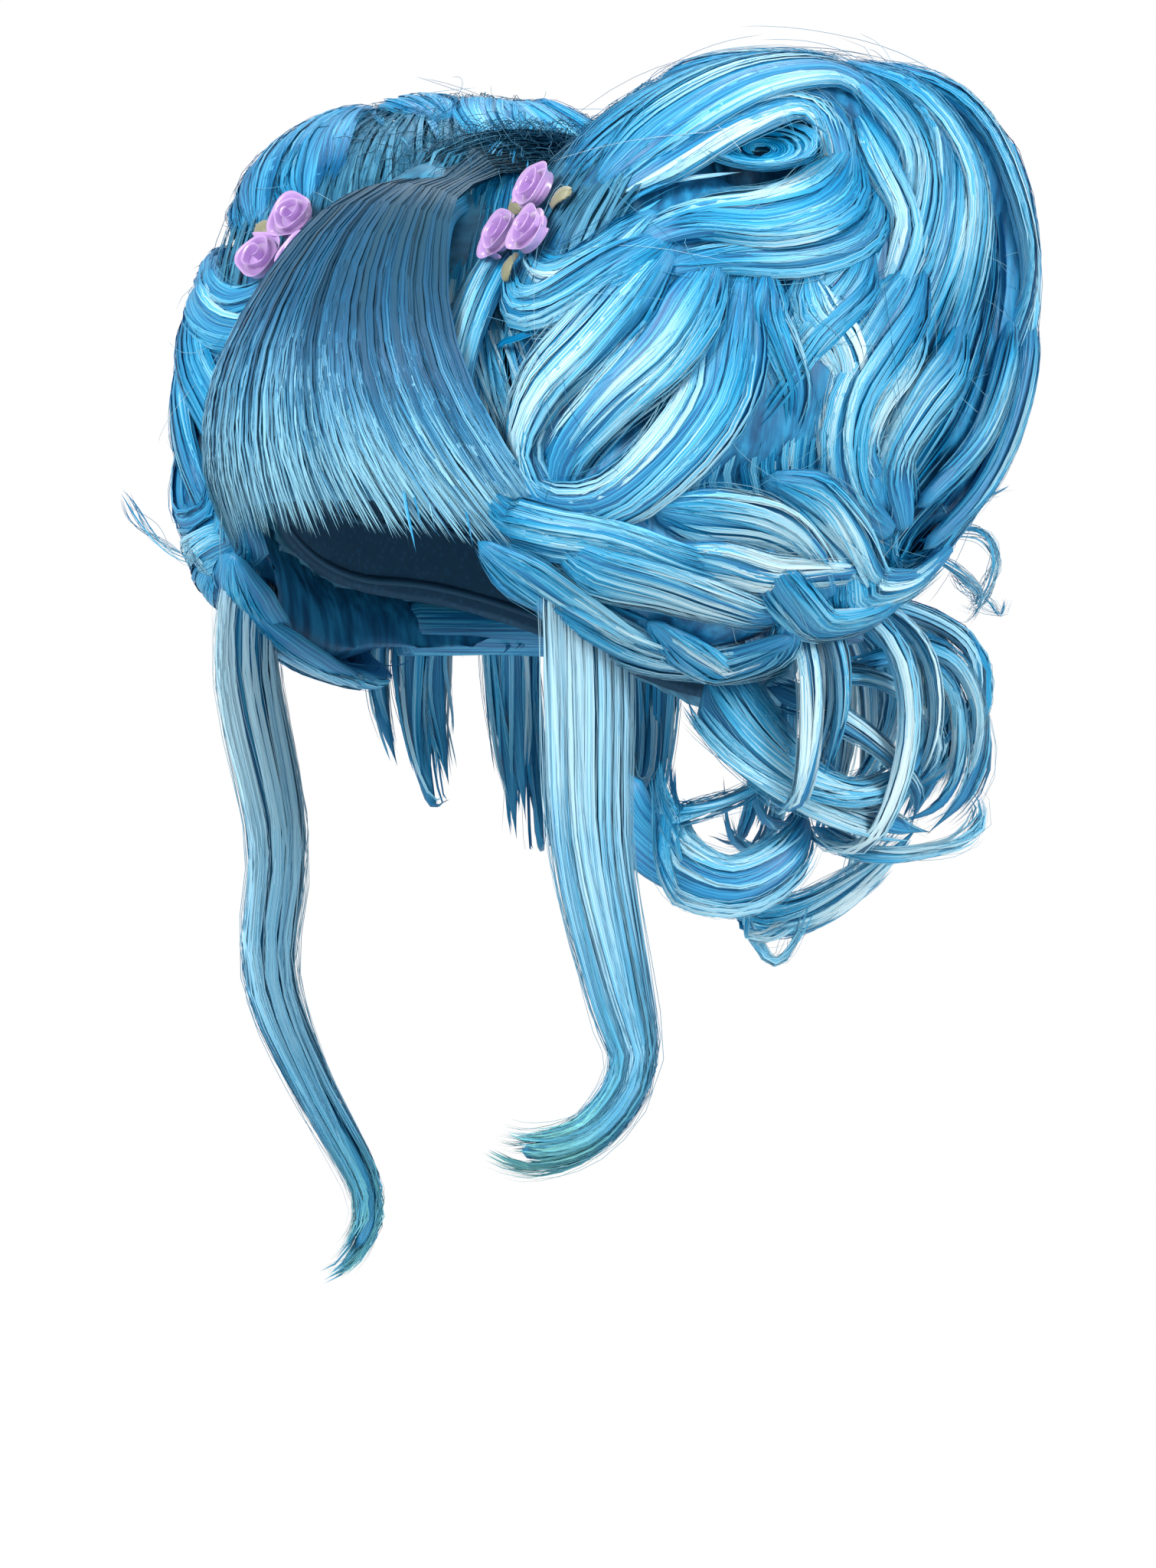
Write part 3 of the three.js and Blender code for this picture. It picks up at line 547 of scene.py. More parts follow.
# Smooth hair drawn up over the front and inner face of a puff
def veilHair():
    veil = sidePuff["veil"]
    results = []
    for count, radius in zip(veil["strands"], (1.1, 0.12)):
        along = np.linspace(0, 1, 9)
        turn = dice.uniform(*veil["turns"], (count, 1)) + dice.uniform(4, 22, (count, 1)) * along**1.5
        lift = dice.uniform(*veil["lifts"], (count, 1)) + dice.uniform(36, 58, (count, 1)) * along
        rise = dice.uniform(0.4, 2.4 if radius > 1 else 4, (count, 1)) + 1.2 * np.sin(math.pi * along)
        points = puffPoint(np.stack([turn, lift, rise + 0 * turn], -1))
        kept = inHead(points) < 0.4
        radii = radius * dice.uniform(0.7, 1.2, (count, 1)) * (1 - 0.7 * along**3)
        tones = dice.normal(0.55, 0.14, (count, 1)) + 0 * along
        points = keptOut(points[kept], 0.5)
        results.append((points, radii[kept], tones[kept], points - sidePuff["centre"]))
    return results


# Teased hair over the inner top of a puff: each thread wanders in small waves
def teasedHair():
    teased = sidePuff["teased"]
    count, along = teased["strands"], np.linspace(0, 1, 9)
    start = np.stack([dice.uniform(*teased["turns"], count), dice.uniform(*teased["lifts"], count)], -1)
    way = dice.normal(0, 1, (count, 2)) * [16, 11]
    waves = dice.uniform(1, 2.6, (count, 2, 1)) * along + dice.random((count, 2, 1))
    places = start[:, None] + way[:, None] * along[:, None] + np.sin(2 * math.pi * waves).transpose(0, 2, 1) * [2.2, 1.6]
    rise = dice.uniform(0.5, teased["rise"], (count, 1)) * (0.5 + 0.5 * np.sin(9 * waves[:, 0]) ** 2)
    points = puffPoint(np.concatenate([places, rise[..., None]], -1))
    points = keptOut(points[inHead(points) < 0.3], 0.5)
    radii = 0.15 * (1 - 0.5 * along) * np.ones((len(points), 1))
    tones = dice.normal(0.42, 0.18, (len(points), 1)) + 0 * along
    return points, radii, tones, points - sidePuff["centre"]


def inHead(points):  # how much of each strand would lie in the laid hair or in the way for the head
    return (np.linalg.norm(keptOut(points, 0) - points, axis=-1) > 2).mean(1)


def buildPuff(side):
    name = side + "Puff"
    parts = {"crest": sidePuff["crest"], "middle": sidePuff["middle"], "lower": sidePuff["lower"],
             "back": backLocks()}
    addBase(name + "Base", ["side_puff_" + side], baseHair, 4.2, 11, 2.5)
    flip = np.array([1 if side == "left" else -1, 1, 1])
    strandCounts = sidePuff["strands" + side.title()]
    paths = []
    for part, locks in parts.items():
        bm = newShape()
        pairs = []
        for wide, rows in locks:
            path = keptOut(puffPoint(onPath(np.array(rows) - [0, 0, sidePuff["lockSink"]], 40)), 4)
            path = onPath(path, 25)
            paths.append(path)
            sides = frameAlong(path, sidePuff["centre"])
            full = lockTaper(path)
            widths, depths = wide * sidePuff["lockWidth"] * full, sidePuff["lockDepth"] * full ** 0.7
            flipped = (path * flip, (sides[0] * flip, sides[1] * flip))
            addLockBody(bm, *flipped, 0.9 * widths, 0.84 * depths, 5)
            least = np.maximum(widths, 0.22 * widths.max()), np.maximum(depths, 0.3 * depths.max())
            counts = [int(count * wide) for count in strandCounts[part]]
            tone = dice.uniform(*sidePuff["tones"][side]) + (0.1 if part == "lower" else 0)
            pairs.append(lockStrands(*flipped, *least, counts, sidePuff["look"], tone))
        addPiece(name + part.title() + "Locks", meshFrom(bm), lockHair)
        addHair(name + part.title(), pairs, strandHair)
    laid = laidStrands(paths, sidePuff["laidStrands"][side], 9, 7.5)

    def turned(pair):
        return [(points * flip, radii, tones, normals * flip) for points, radii, tones, normals in pair]

    addHair(name + "Laid", [turned(laid), turned(rollHair())], strandHair)
    # The veil and teased hair use the crown's ramp, with its painted shade
    addHair(name + "Veil", [turned(veilHair())], crownStrandHair)
    addStrands(name + "Teased", turned([teasedHair()]), crownStrandHair)


buildPuff("left")
buildPuff("right")
print("side puffs done")


# Fringe: a fan from the parting to the brow. Its strands rise out of the crown behind the parting.
fringe = {
    "reach": 111, "top": 18, "drop": 110, "rootTurn": 27, "tipTurn": 66, "templeDrop": 26, "shoulderDrop": 4,
    "profile": [(0.45, 0), (0.64, 0.06), (0.83, 0.24), (0.98, 0.52), (1, 0.78), (0.92, 1)],
    "sheetSink": 2.6, "sheetThickness": 2.2, "edgeSink": 5, "behind": 0.3, "rootAt": -8,
    "strands": (780, 400), "halfWidths": (0.9, 0.13), "steps": 14,
}
fringeProfile = onPath(fringe["profile"], 61)


def fringePoint(u, v, sink):  # u is 0 to 1 from right to left, v is 0 to 1 from the parting down
    span = 2 * u - 1
    at = np.clip(v, 0, 1.06) * 60
    low = np.minimum(at.astype(int), 59)
    reach, drop = (fringeProfile[low, k] + (at - low) * (fringeProfile[low + 1, k] - fringeProfile[low, k])
                   for k in (0, 1))
    turn = np.radians(span * (fringe["rootTurn"] + (fringe["tipTurn"] - fringe["rootTurn"]) * np.maximum(v, 0) ** 2.5))
    blend = eased(3 * v)
    out = fringe["reach"] * reach * ((1 - blend) / np.cos(turn) + blend * (1 - 0.13 * np.sin(turn) ** 2))
    fall = np.maximum(v, 0)
    height = (fringe["top"] - fringe["drop"] * drop - fringe["templeDrop"] * fall * np.abs(span) ** 3
              - fringe["shoulderDrop"] * (1 - fall) * span**2)
    point = np.stack([out * np.sin(turn), -out * np.cos(turn), height], -1)
    heart = np.array([0, -0.18 * fringe["reach"], fringe["top"] - 0.7 * fringe["drop"]])
    return point + unit(heart - point) * sink[..., None]


# Crown: hair laid over the cap from the parting to the back, teased high in the middle
crown = {
    "halfWidth": 76, "halfLength": 95, "height": 95, "layer": 7.4, "crest": 27, "crestHalfWidth": 46,
    "crestFront": 42, "crestFade": 26, "strands": (380, 260), "steps": 12, "halfWidths": (1.1, 0.13),
    "frizz": 900, "frizzRise": 9, "temple": (210, 130), "fall": (150, 50),
}


def crownRise(x, y):
    fade = 1 - eased((-y - crown["crestFront"]) / crown["crestFade"])
    return crown["layer"] + crown["crest"] * eased(1 - np.abs(x) / crown["crestHalfWidth"]) * fade


def crownHeight(x, y):
    rise = crownRise(x, y)
    inside = 1 - (x / (crown["halfWidth"] + rise)) ** 2 - (y / (crown["halfLength"] + rise)) ** 2
    return (crown["height"] + rise) * np.sqrt(np.maximum(inside, 0.02)) - crown["height"]


def buildFringe():
    bm = newShape()
    grid = bmesh.ops.create_grid(bm, x_segments=110, y_segments=36, size=0.5, calc_uvs=True)["verts"]
    places = np.array([vert.co[:] for vert in grid])
    u, v = places[:, 0] + 0.5, 0.5 - places[:, 1]
    ridge = 0.5 * np.sin(u * 150 + 2 * np.sin(9 * u)) + 0.35 * np.sin(u * 330 + 3 * v)
    edge = fringe["edgeSink"] * np.maximum(np.abs(2 * u - 1) - 0.86, 0) / 0.14
    points = fringePoint(u, 0.96 * v, fringe["sheetSink"] + edge + ridge * np.minimum(1, 4 * v))
    for vert, point in zip(grid, points):
        vert.co = Vector(point * mm)
    bmesh.ops.recalc_face_normals(bm, faces=bm.faces)
    inward = sum((face.normal.dot(face.calc_center_median() - Vector((0, 0, -0.06))) for face in bm.faces)) < 0
    if inward:
        bmesh.ops.reverse_faces(bm, faces=bm.faces)
    bmesh.ops.solidify(bm, geom=bm.faces[:], thickness=fringe["sheetThickness"] * mm)
    addPiece("fringeSheet", meshFrom(bm), sheetHair, ["fringe"])
    steps = fringe["steps"]
    pair = []
    for count, halfWidth in zip(fringe["strands"], fringe["halfWidths"]):
        u = np.sort(dice.random((count, 1)))
        v = np.linspace(-fringe["behind"], 1, steps)
        drift = 0.014 * dice.normal(0, 1, (count, 1)) * v**2 + 0.004 * np.sin(5 * v + 6 * dice.random((count, 1)))
        length = 1 + dice.uniform(-0.06, 0.045, (count, 1))
        sink = dice.uniform(0.2, 1.6, (count, 1)) + 0 * v - (halfWidth < 1) * dice.uniform(0, 1.2, (count, 1))
        points = fringePoint(np.clip(u + drift, 0, 1), np.maximum(v, 0) * length, sink)
        # Behind the parting each strand runs back over the crown
        back = np.clip(-v / fringe["behind"], 0, 1)[None, :, None]
        root = points[:, steps // 4:steps // 4 + 1]
        x = root[..., 0:1] * (1 - 0.3 * back)
        y = root[..., 1:2] * (1 - back) + fringe["rootAt"] * back
        raised = (root[..., 2:3] - crownHeight(root[..., 0:1], root[..., 1:2])) * (1 - back) ** 2
        behind = np.concatenate([x, y, crownHeight(x, y) + raised + 0.6], -1)
        points = np.where(v[None, :, None] < 0, behind, points)
        radii = halfWidth * dice.uniform(0.7, 1.2, (count, 1)) * (1 - 0.7 * np.abs(v) ** 3)
        # The tone climbs down the fringe, so its roots take the ramp's painted shade and its lower front the painted
        # highlight band
        tones = np.maximum(v, 0) + 0.04 * np.sin(40 * u) + dice.normal(0, 0.07, (count, 1))
        tones -= 0.22 * u * np.sin(math.pi * np.maximum(v, 0))  # the near side is in shade
        pair.append((points, radii, tones, points - [0, -20, -59]))
    addHair("fringe", [pair], fringeStrandHair)


buildFringe()
print("fringe done")


def buildCrown():
    sections = ["crown_hair_%s_%s" % (side, end) for side in ("left", "right") for end in ("front", "back")]
    addBase("crownBase", sections, crownBaseHair, 3.8, 2, 1.6)
    steps = crown["steps"]
    along = np.linspace(0, 1, steps)
    pair = []
    for count, halfWidth in zip(crown["strands"], crown["halfWidths"]):
        x = dice.uniform(-46, 46, (count, 1))
        x = x * (1 + 0.2 * along) + 1.5 * np.sin(5 * along + 6 * dice.random((count, 1)))
        start = dice.uniform(-58, -30, (count, 1))
        y = start + (dice.uniform(40, 108, (count, 1)) - start) * along
        points = np.stack([x, y, crownHeight(x, y) + dice.uniform(0.4, 2.6, (count, 1))], -1)
        radii = halfWidth * dice.uniform(0.7, 1.2, (count, 1)) * (1 - 0.7 * along**3)
        tones = dice.normal(0.42, 0.18, (count, 1)) + 0 * along
        pair.append((points, radii, tones, points - [0, 0, -95]))
    addHair("crown", [pair], crownStrandHair)
    # Hair that falls down the back of the cap, between the puffs
    pair = []
    for count, halfWidth in zip(crown["fall"], crown["halfWidths"]):
        turn = np.radians(dice.uniform(148, 212, (count, 1)) + dice.normal(0, 2, (count, 1)) * along)
        lean = np.radians(dice.uniform(38, 62, (count, 1)) * (1 - along) + dice.uniform(92, 110, (count, 1)) * along)
        rise = crownRise(crown["halfWidth"] * np.sin(lean) * np.sin(turn), 0 * turn) + dice.uniform(0.3, 2, (count, 1))
        points = np.stack([(crown["halfWidth"] + rise) * np.sin(lean) * np.sin(turn),
                           -(crown["halfLength"] + rise) * np.sin(lean) * np.cos(turn),
                           (crown["height"] + rise) * np.cos(lean) - crown["height"]], -1)
        radii = halfWidth * dice.uniform(0.7, 1.2, (count, 1)) * (1 - 0.7 * along**3)
        pair.append((points, radii, dice.normal(0.4, 0.15, (count, 1)) + 0 * along, points - [0, 0, -95]))
    addHair("backFall", [pair], strandHair)
    # Teased hair over the crest: each thread wanders in small waves up and back
    count, steps = crown["frizz"], 9
    along = np.linspace(0, 1, steps)
    start = np.stack([dice.normal(0, 19, count).clip(-44, 44), dice.uniform(-44, 50, count), np.zeros(count)], -1)
    start[:, 2] = crownHeight(start[:, 0], start[:, 1]) + crown["frizzRise"] * dice.uniform(-0.2, 0.6, count)
    way = unit(dice.normal(0, 1, (count, 3)) * [1, 1.1, 0.35] + [0, 0.5, 0.12])
    points = start[:, None] + way[:, None] * (dice.uniform(9, 24, (count, 1)) * along)[..., None]
    for axis in range(3):
        waves = dice.uniform(1, 2.6, (count, 1)) * along + dice.random((count, 1))
        points[..., axis] += dice.uniform(0.6, 2.2, (count, 1)) * np.sin(2 * math.pi * waves)
    floorHeight = crownHeight(points[..., 0], points[..., 1])
    points[..., 2] = np.clip(points[..., 2], floorHeight + 0.2, floorHeight + crown["frizzRise"])
    radii = 0.15 * (1 - 0.5 * along) * np.ones((count, 1))
    tones = dice.normal(0.36, 0.2, (count, 1)) + 0 * along
    addStrands("crownTeased", [(points, radii, tones, points - [0, 0, -95])], crownStrandHair)
    # Temple hair, laid down beside the fringe towards the foot of the puff
    for side in (1, -1):
        pair = []
        for count, halfWidth in zip(crown["temple"], crown["halfWidths"]):
            steps = 10
            along = np.linspace(0, 1, steps)
            turn = np.radians(dice.uniform(22, 78, (count, 1)) + 10 * along**2 + dice.normal(0, 4, (count, 1)) * along)
            lean = np.radians(dice.uniform(14, 36, (count, 1)) + dice.uniform(44, 62, (count, 1)) * along)
            rise = crown["layer"] + dice.uniform(1.4, 3.6, (count, 1)) + 4 * along**2
            x = side * (crown["halfWidth"] + rise) * np.sin(lean) * np.sin(turn)
            y = -(crown["halfLength"] + rise) * np.sin(lean) * np.cos(turn)
            z = (crown["height"] + rise) * np.cos(lean) - crown["height"]
            over = crownHeight(x, y) + rise - crown["layer"]
            points = np.stack([x, y, np.where(lean < 1.1, np.maximum(z, over), z)], -1)
            radii = halfWidth * dice.uniform(0.7, 1.2, (count, 1)) * (1 - 0.7 * along**3)
            tones = 0.2 + 0.45 * along + dice.normal(0, 0.13, (count, 1))
            pair.append((points, radii, tones, points - [0, 0, -95]))
        addHair("leftTemple" if side > 0 else "rightTemple", [pair], strandHair)


buildCrown()
print("crown done")


# Tendrils: (side, ahead, fall, wide) rows, out from the cap's side, forward, down and across
tendrils = {
    "halfWidth": 76, "top": 98, "length": 188, "swing": 60, "width": 30, "depth": 8,
    "left": [(0.02, 0.86, 0, 0.9), (-0.06, 0.72, 0.24, 1), (-0.12, 0.64, 0.5, 0.88), (-0.1, 0.46, 0.74, 0.7),
             (-0.06, 0.4, 0.87, 0.52), (-0.1, 0.66, 0.97, 0.44), (-0.16, 1.04, 1, 0.34), (-0.22, 1.36, 0.965, 0.16)],
    "right": [(0.02, 0.9, 0, 0.7), (-0.06, 1.02, 0.2, 0.8), (-0.1, 0.84, 0.5, 0.7), (-0.12, 0.92, 0.72, 0.62),
              (-0.12, 0.62, 0.92, 0.48), (-0.12, 0.2, 1.12, 0.36), (-0.14, 0.34, 1.22, 0.28),
              (-0.14, 0.62, 1.26, 0.16)],
    "strands": (84, 100), "tones": {"left": 0.48, "right": 0.36},
    "look": {"steps": 19, "startSpread": 0.05, "endSpread": 0.2, "sway": 1.1, "fray": 2.4, "wrap": 0.4,
             "groups": 6, "ribbon": 0.95, "ribbonApart": 0.24, "thread": 0.12, "threadApart": 0.4,
             "toneSpread": 0.06, "toneFall": 1.0, "paintedLight": 0},
}


def buildTendril(side):
    sign = 1 if side == "left" else -1
    rows = onPath(tendrils[side], 49)
    path = np.stack([sign * (tendrils["halfWidth"] + tendrils["swing"] * rows[:, 0]),
                     -tendrils["swing"] * rows[:, 1], -tendrils["top"] - tendrils["length"] * rows[:, 2]], 1)
    far = np.array([-760 * sign, 0, -tendrils["top"] - tendrils["length"] / 2])
    sides = frameAlong(path, far)
    widths = tendrils["width"] * rows[:, 3]
    depths = np.minimum(tendrils["depth"], widths * 0.8)
    closed = np.ones(49)
    closed[[0, -1]] = 0
    bodyShare = 1 - 0.6 * np.linspace(0, 1, 49) ** 2
    bm = newShape()
    short = slice(0, 42)  # the strands run on past the body
    closed[41] = 0
    addLockBody(bm, path[short], (sides[0][short], sides[1][short]), (0.76 * widths * closed * bodyShare)[short],
                (0.6 * depths * closed * bodyShare)[short], 6)
    addPiece(side + "TendrilBody", meshFrom(bm), lockHair, ["tendril_" + side])
    over = lockStrands(path, sides, widths, depths, tendrils["strands"], tendrils["look"], tendrils["tones"][side])
    inner = (sides[0], -sides[1])
    fewer = [count // 2 for count in tendrils["strands"]]
    under = lockStrands(path, inner, widths, depths, fewer, tendrils["look"], 0.45)
    addHair(side + "Tendril", [over, under], tendrilStrandHair)


buildTendril("left")
buildTendril("right")
print("tendrils done")


# Nape curls. Rows of section are (reach, hang); side and back are (turn, reach, hang, skew): each curl swings out
# from the roll at the cap's edge and turns under. Seen rows are the curls that show at the left, as
# (wide, rows of (across, towards, height)) in millimetres in the studio's view.
nape = {
    "top": 120, "rollRadius": 11, "reach": 46, "hang": 92, "width": 13, "depth": 7,
    "section": [(0, -0.02), (0.45, -0.06), (0.95, 0.16), (1, 0.55), (0.62, 0.95), (0.05, 0.94), (-0.12, 0.66)],
    "side": [(103, 0.45, 0.74, 6), (118, 0.75, 0.92, 6), (133, 1, 0.74, 6), (146, 0.92, 1, -4)],
    "back": [(164, 0.9, 0.82, 4), (180, 0.8, 1.05, 0), (196, 0.9, 0.82, -4)],
    "perCurl": 3, "strands": (15, 5), "seenStrands": (1.0, 1.1),
    "seen": [
        (24, [(40, 50, -140), (53, 52, -158), (66, 48, -170), (83, 40, -180), (99, 25, -186), (113, 10, -189)]),
        (26, [(11, 38, -168), (18, 42, -187), (33, 46, -200), (49, 46, -205), (64, 40, -198), (72, 30, -187),
              (70, 22, -175)]),
        (13, [(96, 20, -126), (117, 5, -131), (128, -5, -145), (130, -10, -163), (124, -8, -178), (112, 0, -190)]),
        (10, [(86, 30, -136), (106, 20, -133), (120, 10, -144), (123, 5, -164), (116, 5, -180), (99, 10, -187)]),
        (9, [(69, 40, -141), (91, 34, -139), (108, 24, -148), (115, 18, -163), (106, 14, -177)]),
        (12, [(59, 46, -143), (78, 44, -151), (95, 38, -162), (107, 30, -175), (106, 20, -188)]),
        (14, [(50, 48, -150), (60, 48, -164), (75, 46, -173), (91, 38, -176), (106, 28, -168), (111, 22, -158)]),
        (16, [(48, -20, -208), (64, -25, -216), (81, -30, -212), (99, -35, -200), (112, -35, -187)]),
        (3, [(46, 0, -214), (53, 0, -221), (62, 0, -222), (73, 0, -215)]),
        (1.6, [(48, -5, -205), (57, -5, -223), (63, -5, -231), (69, -5, -226), (76, -5, -208)]),
        (7, [(74, 20, -187), (89, 18, -194), (104, 10, -196), (119, 5, -194), (128, 0, -187), (129, 0, -179),
             (125, 0, -175)]),
        (8, [(19, 42, -183), (35, 46, -182), (52, 46, -177), (64, 44, -168)]),
    ],
    "look": {"steps": 14, "startSpread": 0.08, "endSpread": 0.22, "sway": 1.0, "fray": 2.4, "wrap": 0.5,
             "groups": 5, "ribbon": 0.9, "ribbonApart": 0.25, "thread": 0.12, "threadApart": 0.4,
             "toneSpread": 0.1, "toneFall": 0.1, "paintedLight": 0.3},
}
studio = {"floorHeight": -1500, "floorHalf": 5000, "aim": (9, 10, -173.5), "azimuth": 48, "distance": 1900,
          "lens": 135.6, "backdrop": 1.0, "fill": 0.6}


def napePoint(turn, out, height):
    lean = math.acos(1 - nape["top"] / 95)
    start = np.array([83 * math.sin(lean) * math.sin(math.radians(turn)),
                      -102 * math.sin(lean) * math.cos(math.radians(turn))])
    flat = np.linalg.norm(start)
    return np.array([*(start * (flat + out) / flat), -nape["top"] - height])


def inView(rows):  # rows of (across, towards, height) in the studio's view as places on the wig
    turn = math.radians(studio["azimuth"])
    across, towards, height = np.array(rows, float).T
    return np.stack([studio["aim"][0] + math.cos(turn) * across + math.sin(turn) * towards,
                     studio["aim"][1] + math.sin(turn) * across - math.cos(turn) * towards, height], 1)


def addCurl(bm, pairs, path, centre, width, depth, counts, flip):
    sides = frameAlong(path, centre)
    share = np.linspace(0, 1, len(path))
    widths, depths = width * (1 - 0.8 * share**1.8), depth * (1 - 0.7 * share**1.8)
    closed = np.minimum(1, 6 * (1 - share)) * np.minimum(1, 12 * share)
    flipped = (path * flip, (sides[0] * flip, sides[1] * flip))
    inner = (flipped[0], (flipped[1][0], -flipped[1][1]))
    tone = dice.uniform(0.42, 0.75)
    if width > 5:
        addLockBody(bm, *flipped, 0.72 * widths * closed, 0.6 * depths * closed, 4)
    pairs.append(lockStrands(*flipped, widths, depths, counts, nape["look"], tone))
    # The strands on the inner face of a curl are a tenth darker in tone: painted shade under the curl
    pairs.append(lockStrands(*inner, widths, depths, [count // 2 for count in counts], nape["look"], tone - 0.1))


def buildNape(name, nodeName, curls, rollTurns, mirrored):
    flip = np.array([-1 if mirrored else 1, 1, 1])
    bm = newShape()
    pairs = []
    roll = np.array([napePoint(turn, 0.6 * nape["rollRadius"], 0) for turn in np.linspace(*rollTurns, 17)])
    girth = nape["rollRadius"] * 1.9 * np.r_[0, np.ones(15), 0]
    rollSides = frameAlong(roll, np.array([0, 0, -nape["top"]]))
    addLockBody(bm, roll * flip, (rollSides[0] * flip, rollSides[1] * flip), girth, girth, 7)
    for turn, reach, hang, skew in curls:
        for k in range(nape["perCurl"]):
            swing, far, low = dice.uniform(-5, 5), reach * dice.uniform(0.78, 1.04), hang * dice.uniform(0.72, 1.02)
            points = [napePoint(turn + swing + (k - 1) * 4 + skew * j / 6, nape["reach"] * far * mark[0] + 6.6,
                                nape["hang"] * low * mark[1]) for j, mark in enumerate(nape["section"])]
            points = points[:dice.integers(5, 8)]
            centre = napePoint(turn, 0.4 * nape["reach"] * reach, 0.45 * nape["hang"] * hang)
            addCurl(bm, pairs, onPath(points, 27), centre, nape["width"] * dice.uniform(0.7, 1.1), nape["depth"],
                    nape["strands"], flip)
    if name == "leftNape":
        for wide, rows in nape["seen"]:
            path = onPath(inView(rows), 27)
            counts = [int(4 + share * wide) for share in nape["seenStrands"]]
            addCurl(bm, pairs, path, path.mean(0) - [12, -12, 20], wide, min(nape["depth"], 0.6 * wide), counts, flip)
    addPiece(name + "Locks", meshFrom(bm), lockHair, [nodeName])
    addHair(name, pairs, strandHair)


buildNape("leftNape", "nape_curls_left", nape["side"], (96, 153), False)
buildNape("rightNape", "nape_curls_right", nape["side"], (96, 153), True)
buildNape("backNape", "nape_curls_back", nape["back"], (157, 203), False)
print("nape done")


# Loose ends: thin locks that stand off the outline, in the studio's view, and single hairs off the puffs
loose = {
    "ends": [
        (4, [(114, -10, -78), (126, -10, -81), (134, -10, -80), (138, -10, -75)]),
        (4, [(118, -15, -91), (131, -15, -93), (136, -15, -103), (129, -15, -115), (122, -15, -112)]),
        (3, [(120, -15, -104), (131, -15, -114), (137, -15, -119), (136, -15, -112)]),
        (6, [(134, -14, -24), (139, -14, -48), (134, -14, -68), (127, -12, -80)]),
        (5, [(140, -20, -2), (143, -20, -24), (140, -18, -48), (135, -16, -62)]),
        (4, [(106, 20, -98), (120, 5, -104), (130, -5, -112), (126, -8, -122), (116, -6, -122)]),
        (2, [(-149, -20, -78), (-140, -20, -90), (-129, -20, -100), (-113, -20, -104)]),
        (4, [(-118, -20, -84), (-124, -20, -96), (-118, -20, -106), (-108, -20, -104)]),
    ],
    "hairs": 130, "steps": 10, "stride": 7, "radius": 0.11,
}


def buildLoose():
    pairs = []
    for wide, rows in loose["ends"]:
        path = onPath(inView(rows), 21)
        sides = frameAlong(path, path.mean(0) - [30, -30, 40])
        widths = wide * (1 - 0.6 * np.linspace(0, 1, 21))
        counts = (int(2 + 0.8 * wide), int(5 + 3 * wide))
        look = nape["look"] | {"ribbon": 0.16 * wide, "fray": 0.4 * wide}
        pairs.append(lockStrands(path, sides, widths, 0.6 * widths, counts, look, 0.5))
    addHair("looseEnds", pairs, strandHair)
    hairs = []
    for flip in (np.array([1, 1, 1]), np.array([-1, 1, 1])):
        count = loose["hairs"]
        here = puffPoint(np.stack([dice.uniform(-40, 220, count), dice.uniform(-50, 75, count),
                                   dice.uniform(3, 8, count)], -1))
        going = unit(dice.normal(0, 1, here.shape) + [0, 0, -0.7])
        bend = 0.4 * dice.normal(0, 1, here.shape)
        rise, lifted = dice.uniform(3, 7, count), dice.uniform(0, 0.8, count)
        points = []
        for step in range(loose["steps"]):
            points.append(ontoPuff(here, rise + lifted * step))
            going = unit(going + bend)
            here = here + loose["stride"] * going
        points = np.stack(points, 1)
        points = points[inHead(points) < 0.05]
        along = np.linspace(0, 1, loose["steps"])
        radii = loose["radius"] * (1 - 0.4 * along) * np.ones((len(points), 1))
        tones = dice.normal(0.55, 0.2, (len(points), 1)) + 0 * along
        hairs.append((points * flip, radii, tones, (points - sidePuff["centre"]) * flip))
    addStrands("looseHairs", hairs, strandHair)


buildLoose()
print("loose hair done")


# Ribbon roses and leaves
rose = {"turns": 2.6, "radius": 10.2, "height": 6.4, "bud": 0.8, "ribbon": 0.3, "apart": 1.22}
satin, satinNodes, satinLinks, satinShader = newMaterial("lilacSatin", 0.22)
satinShader.inputs["Base Color"].default_value = paint("c8a3e0")
satinShader.inputs["Sheen Weight"].default_value = 0.4
satinShader.inputs["Specular IOR Level"].default_value = 0.85
olive, oliveNodes, oliveLinks, oliveShader = newMaterial("oliveRibbon", 0.42)
oliveShader.inputs["Base Color"].default_value = paint("87876a")
oliveShader.inputs["Sheen Weight"].default_value = 0.3


def facing(place, side):  # the turn that sets a flower upright on its puff at a place
    centre = sidePuff["centre"] * np.array([1 if side == "left" else -1, 1, 1]) * mm
    outward = (Vector(place) - Vector(centre)).normalized()
    return outward.to_track_quat("Z", "Y").to_matrix()


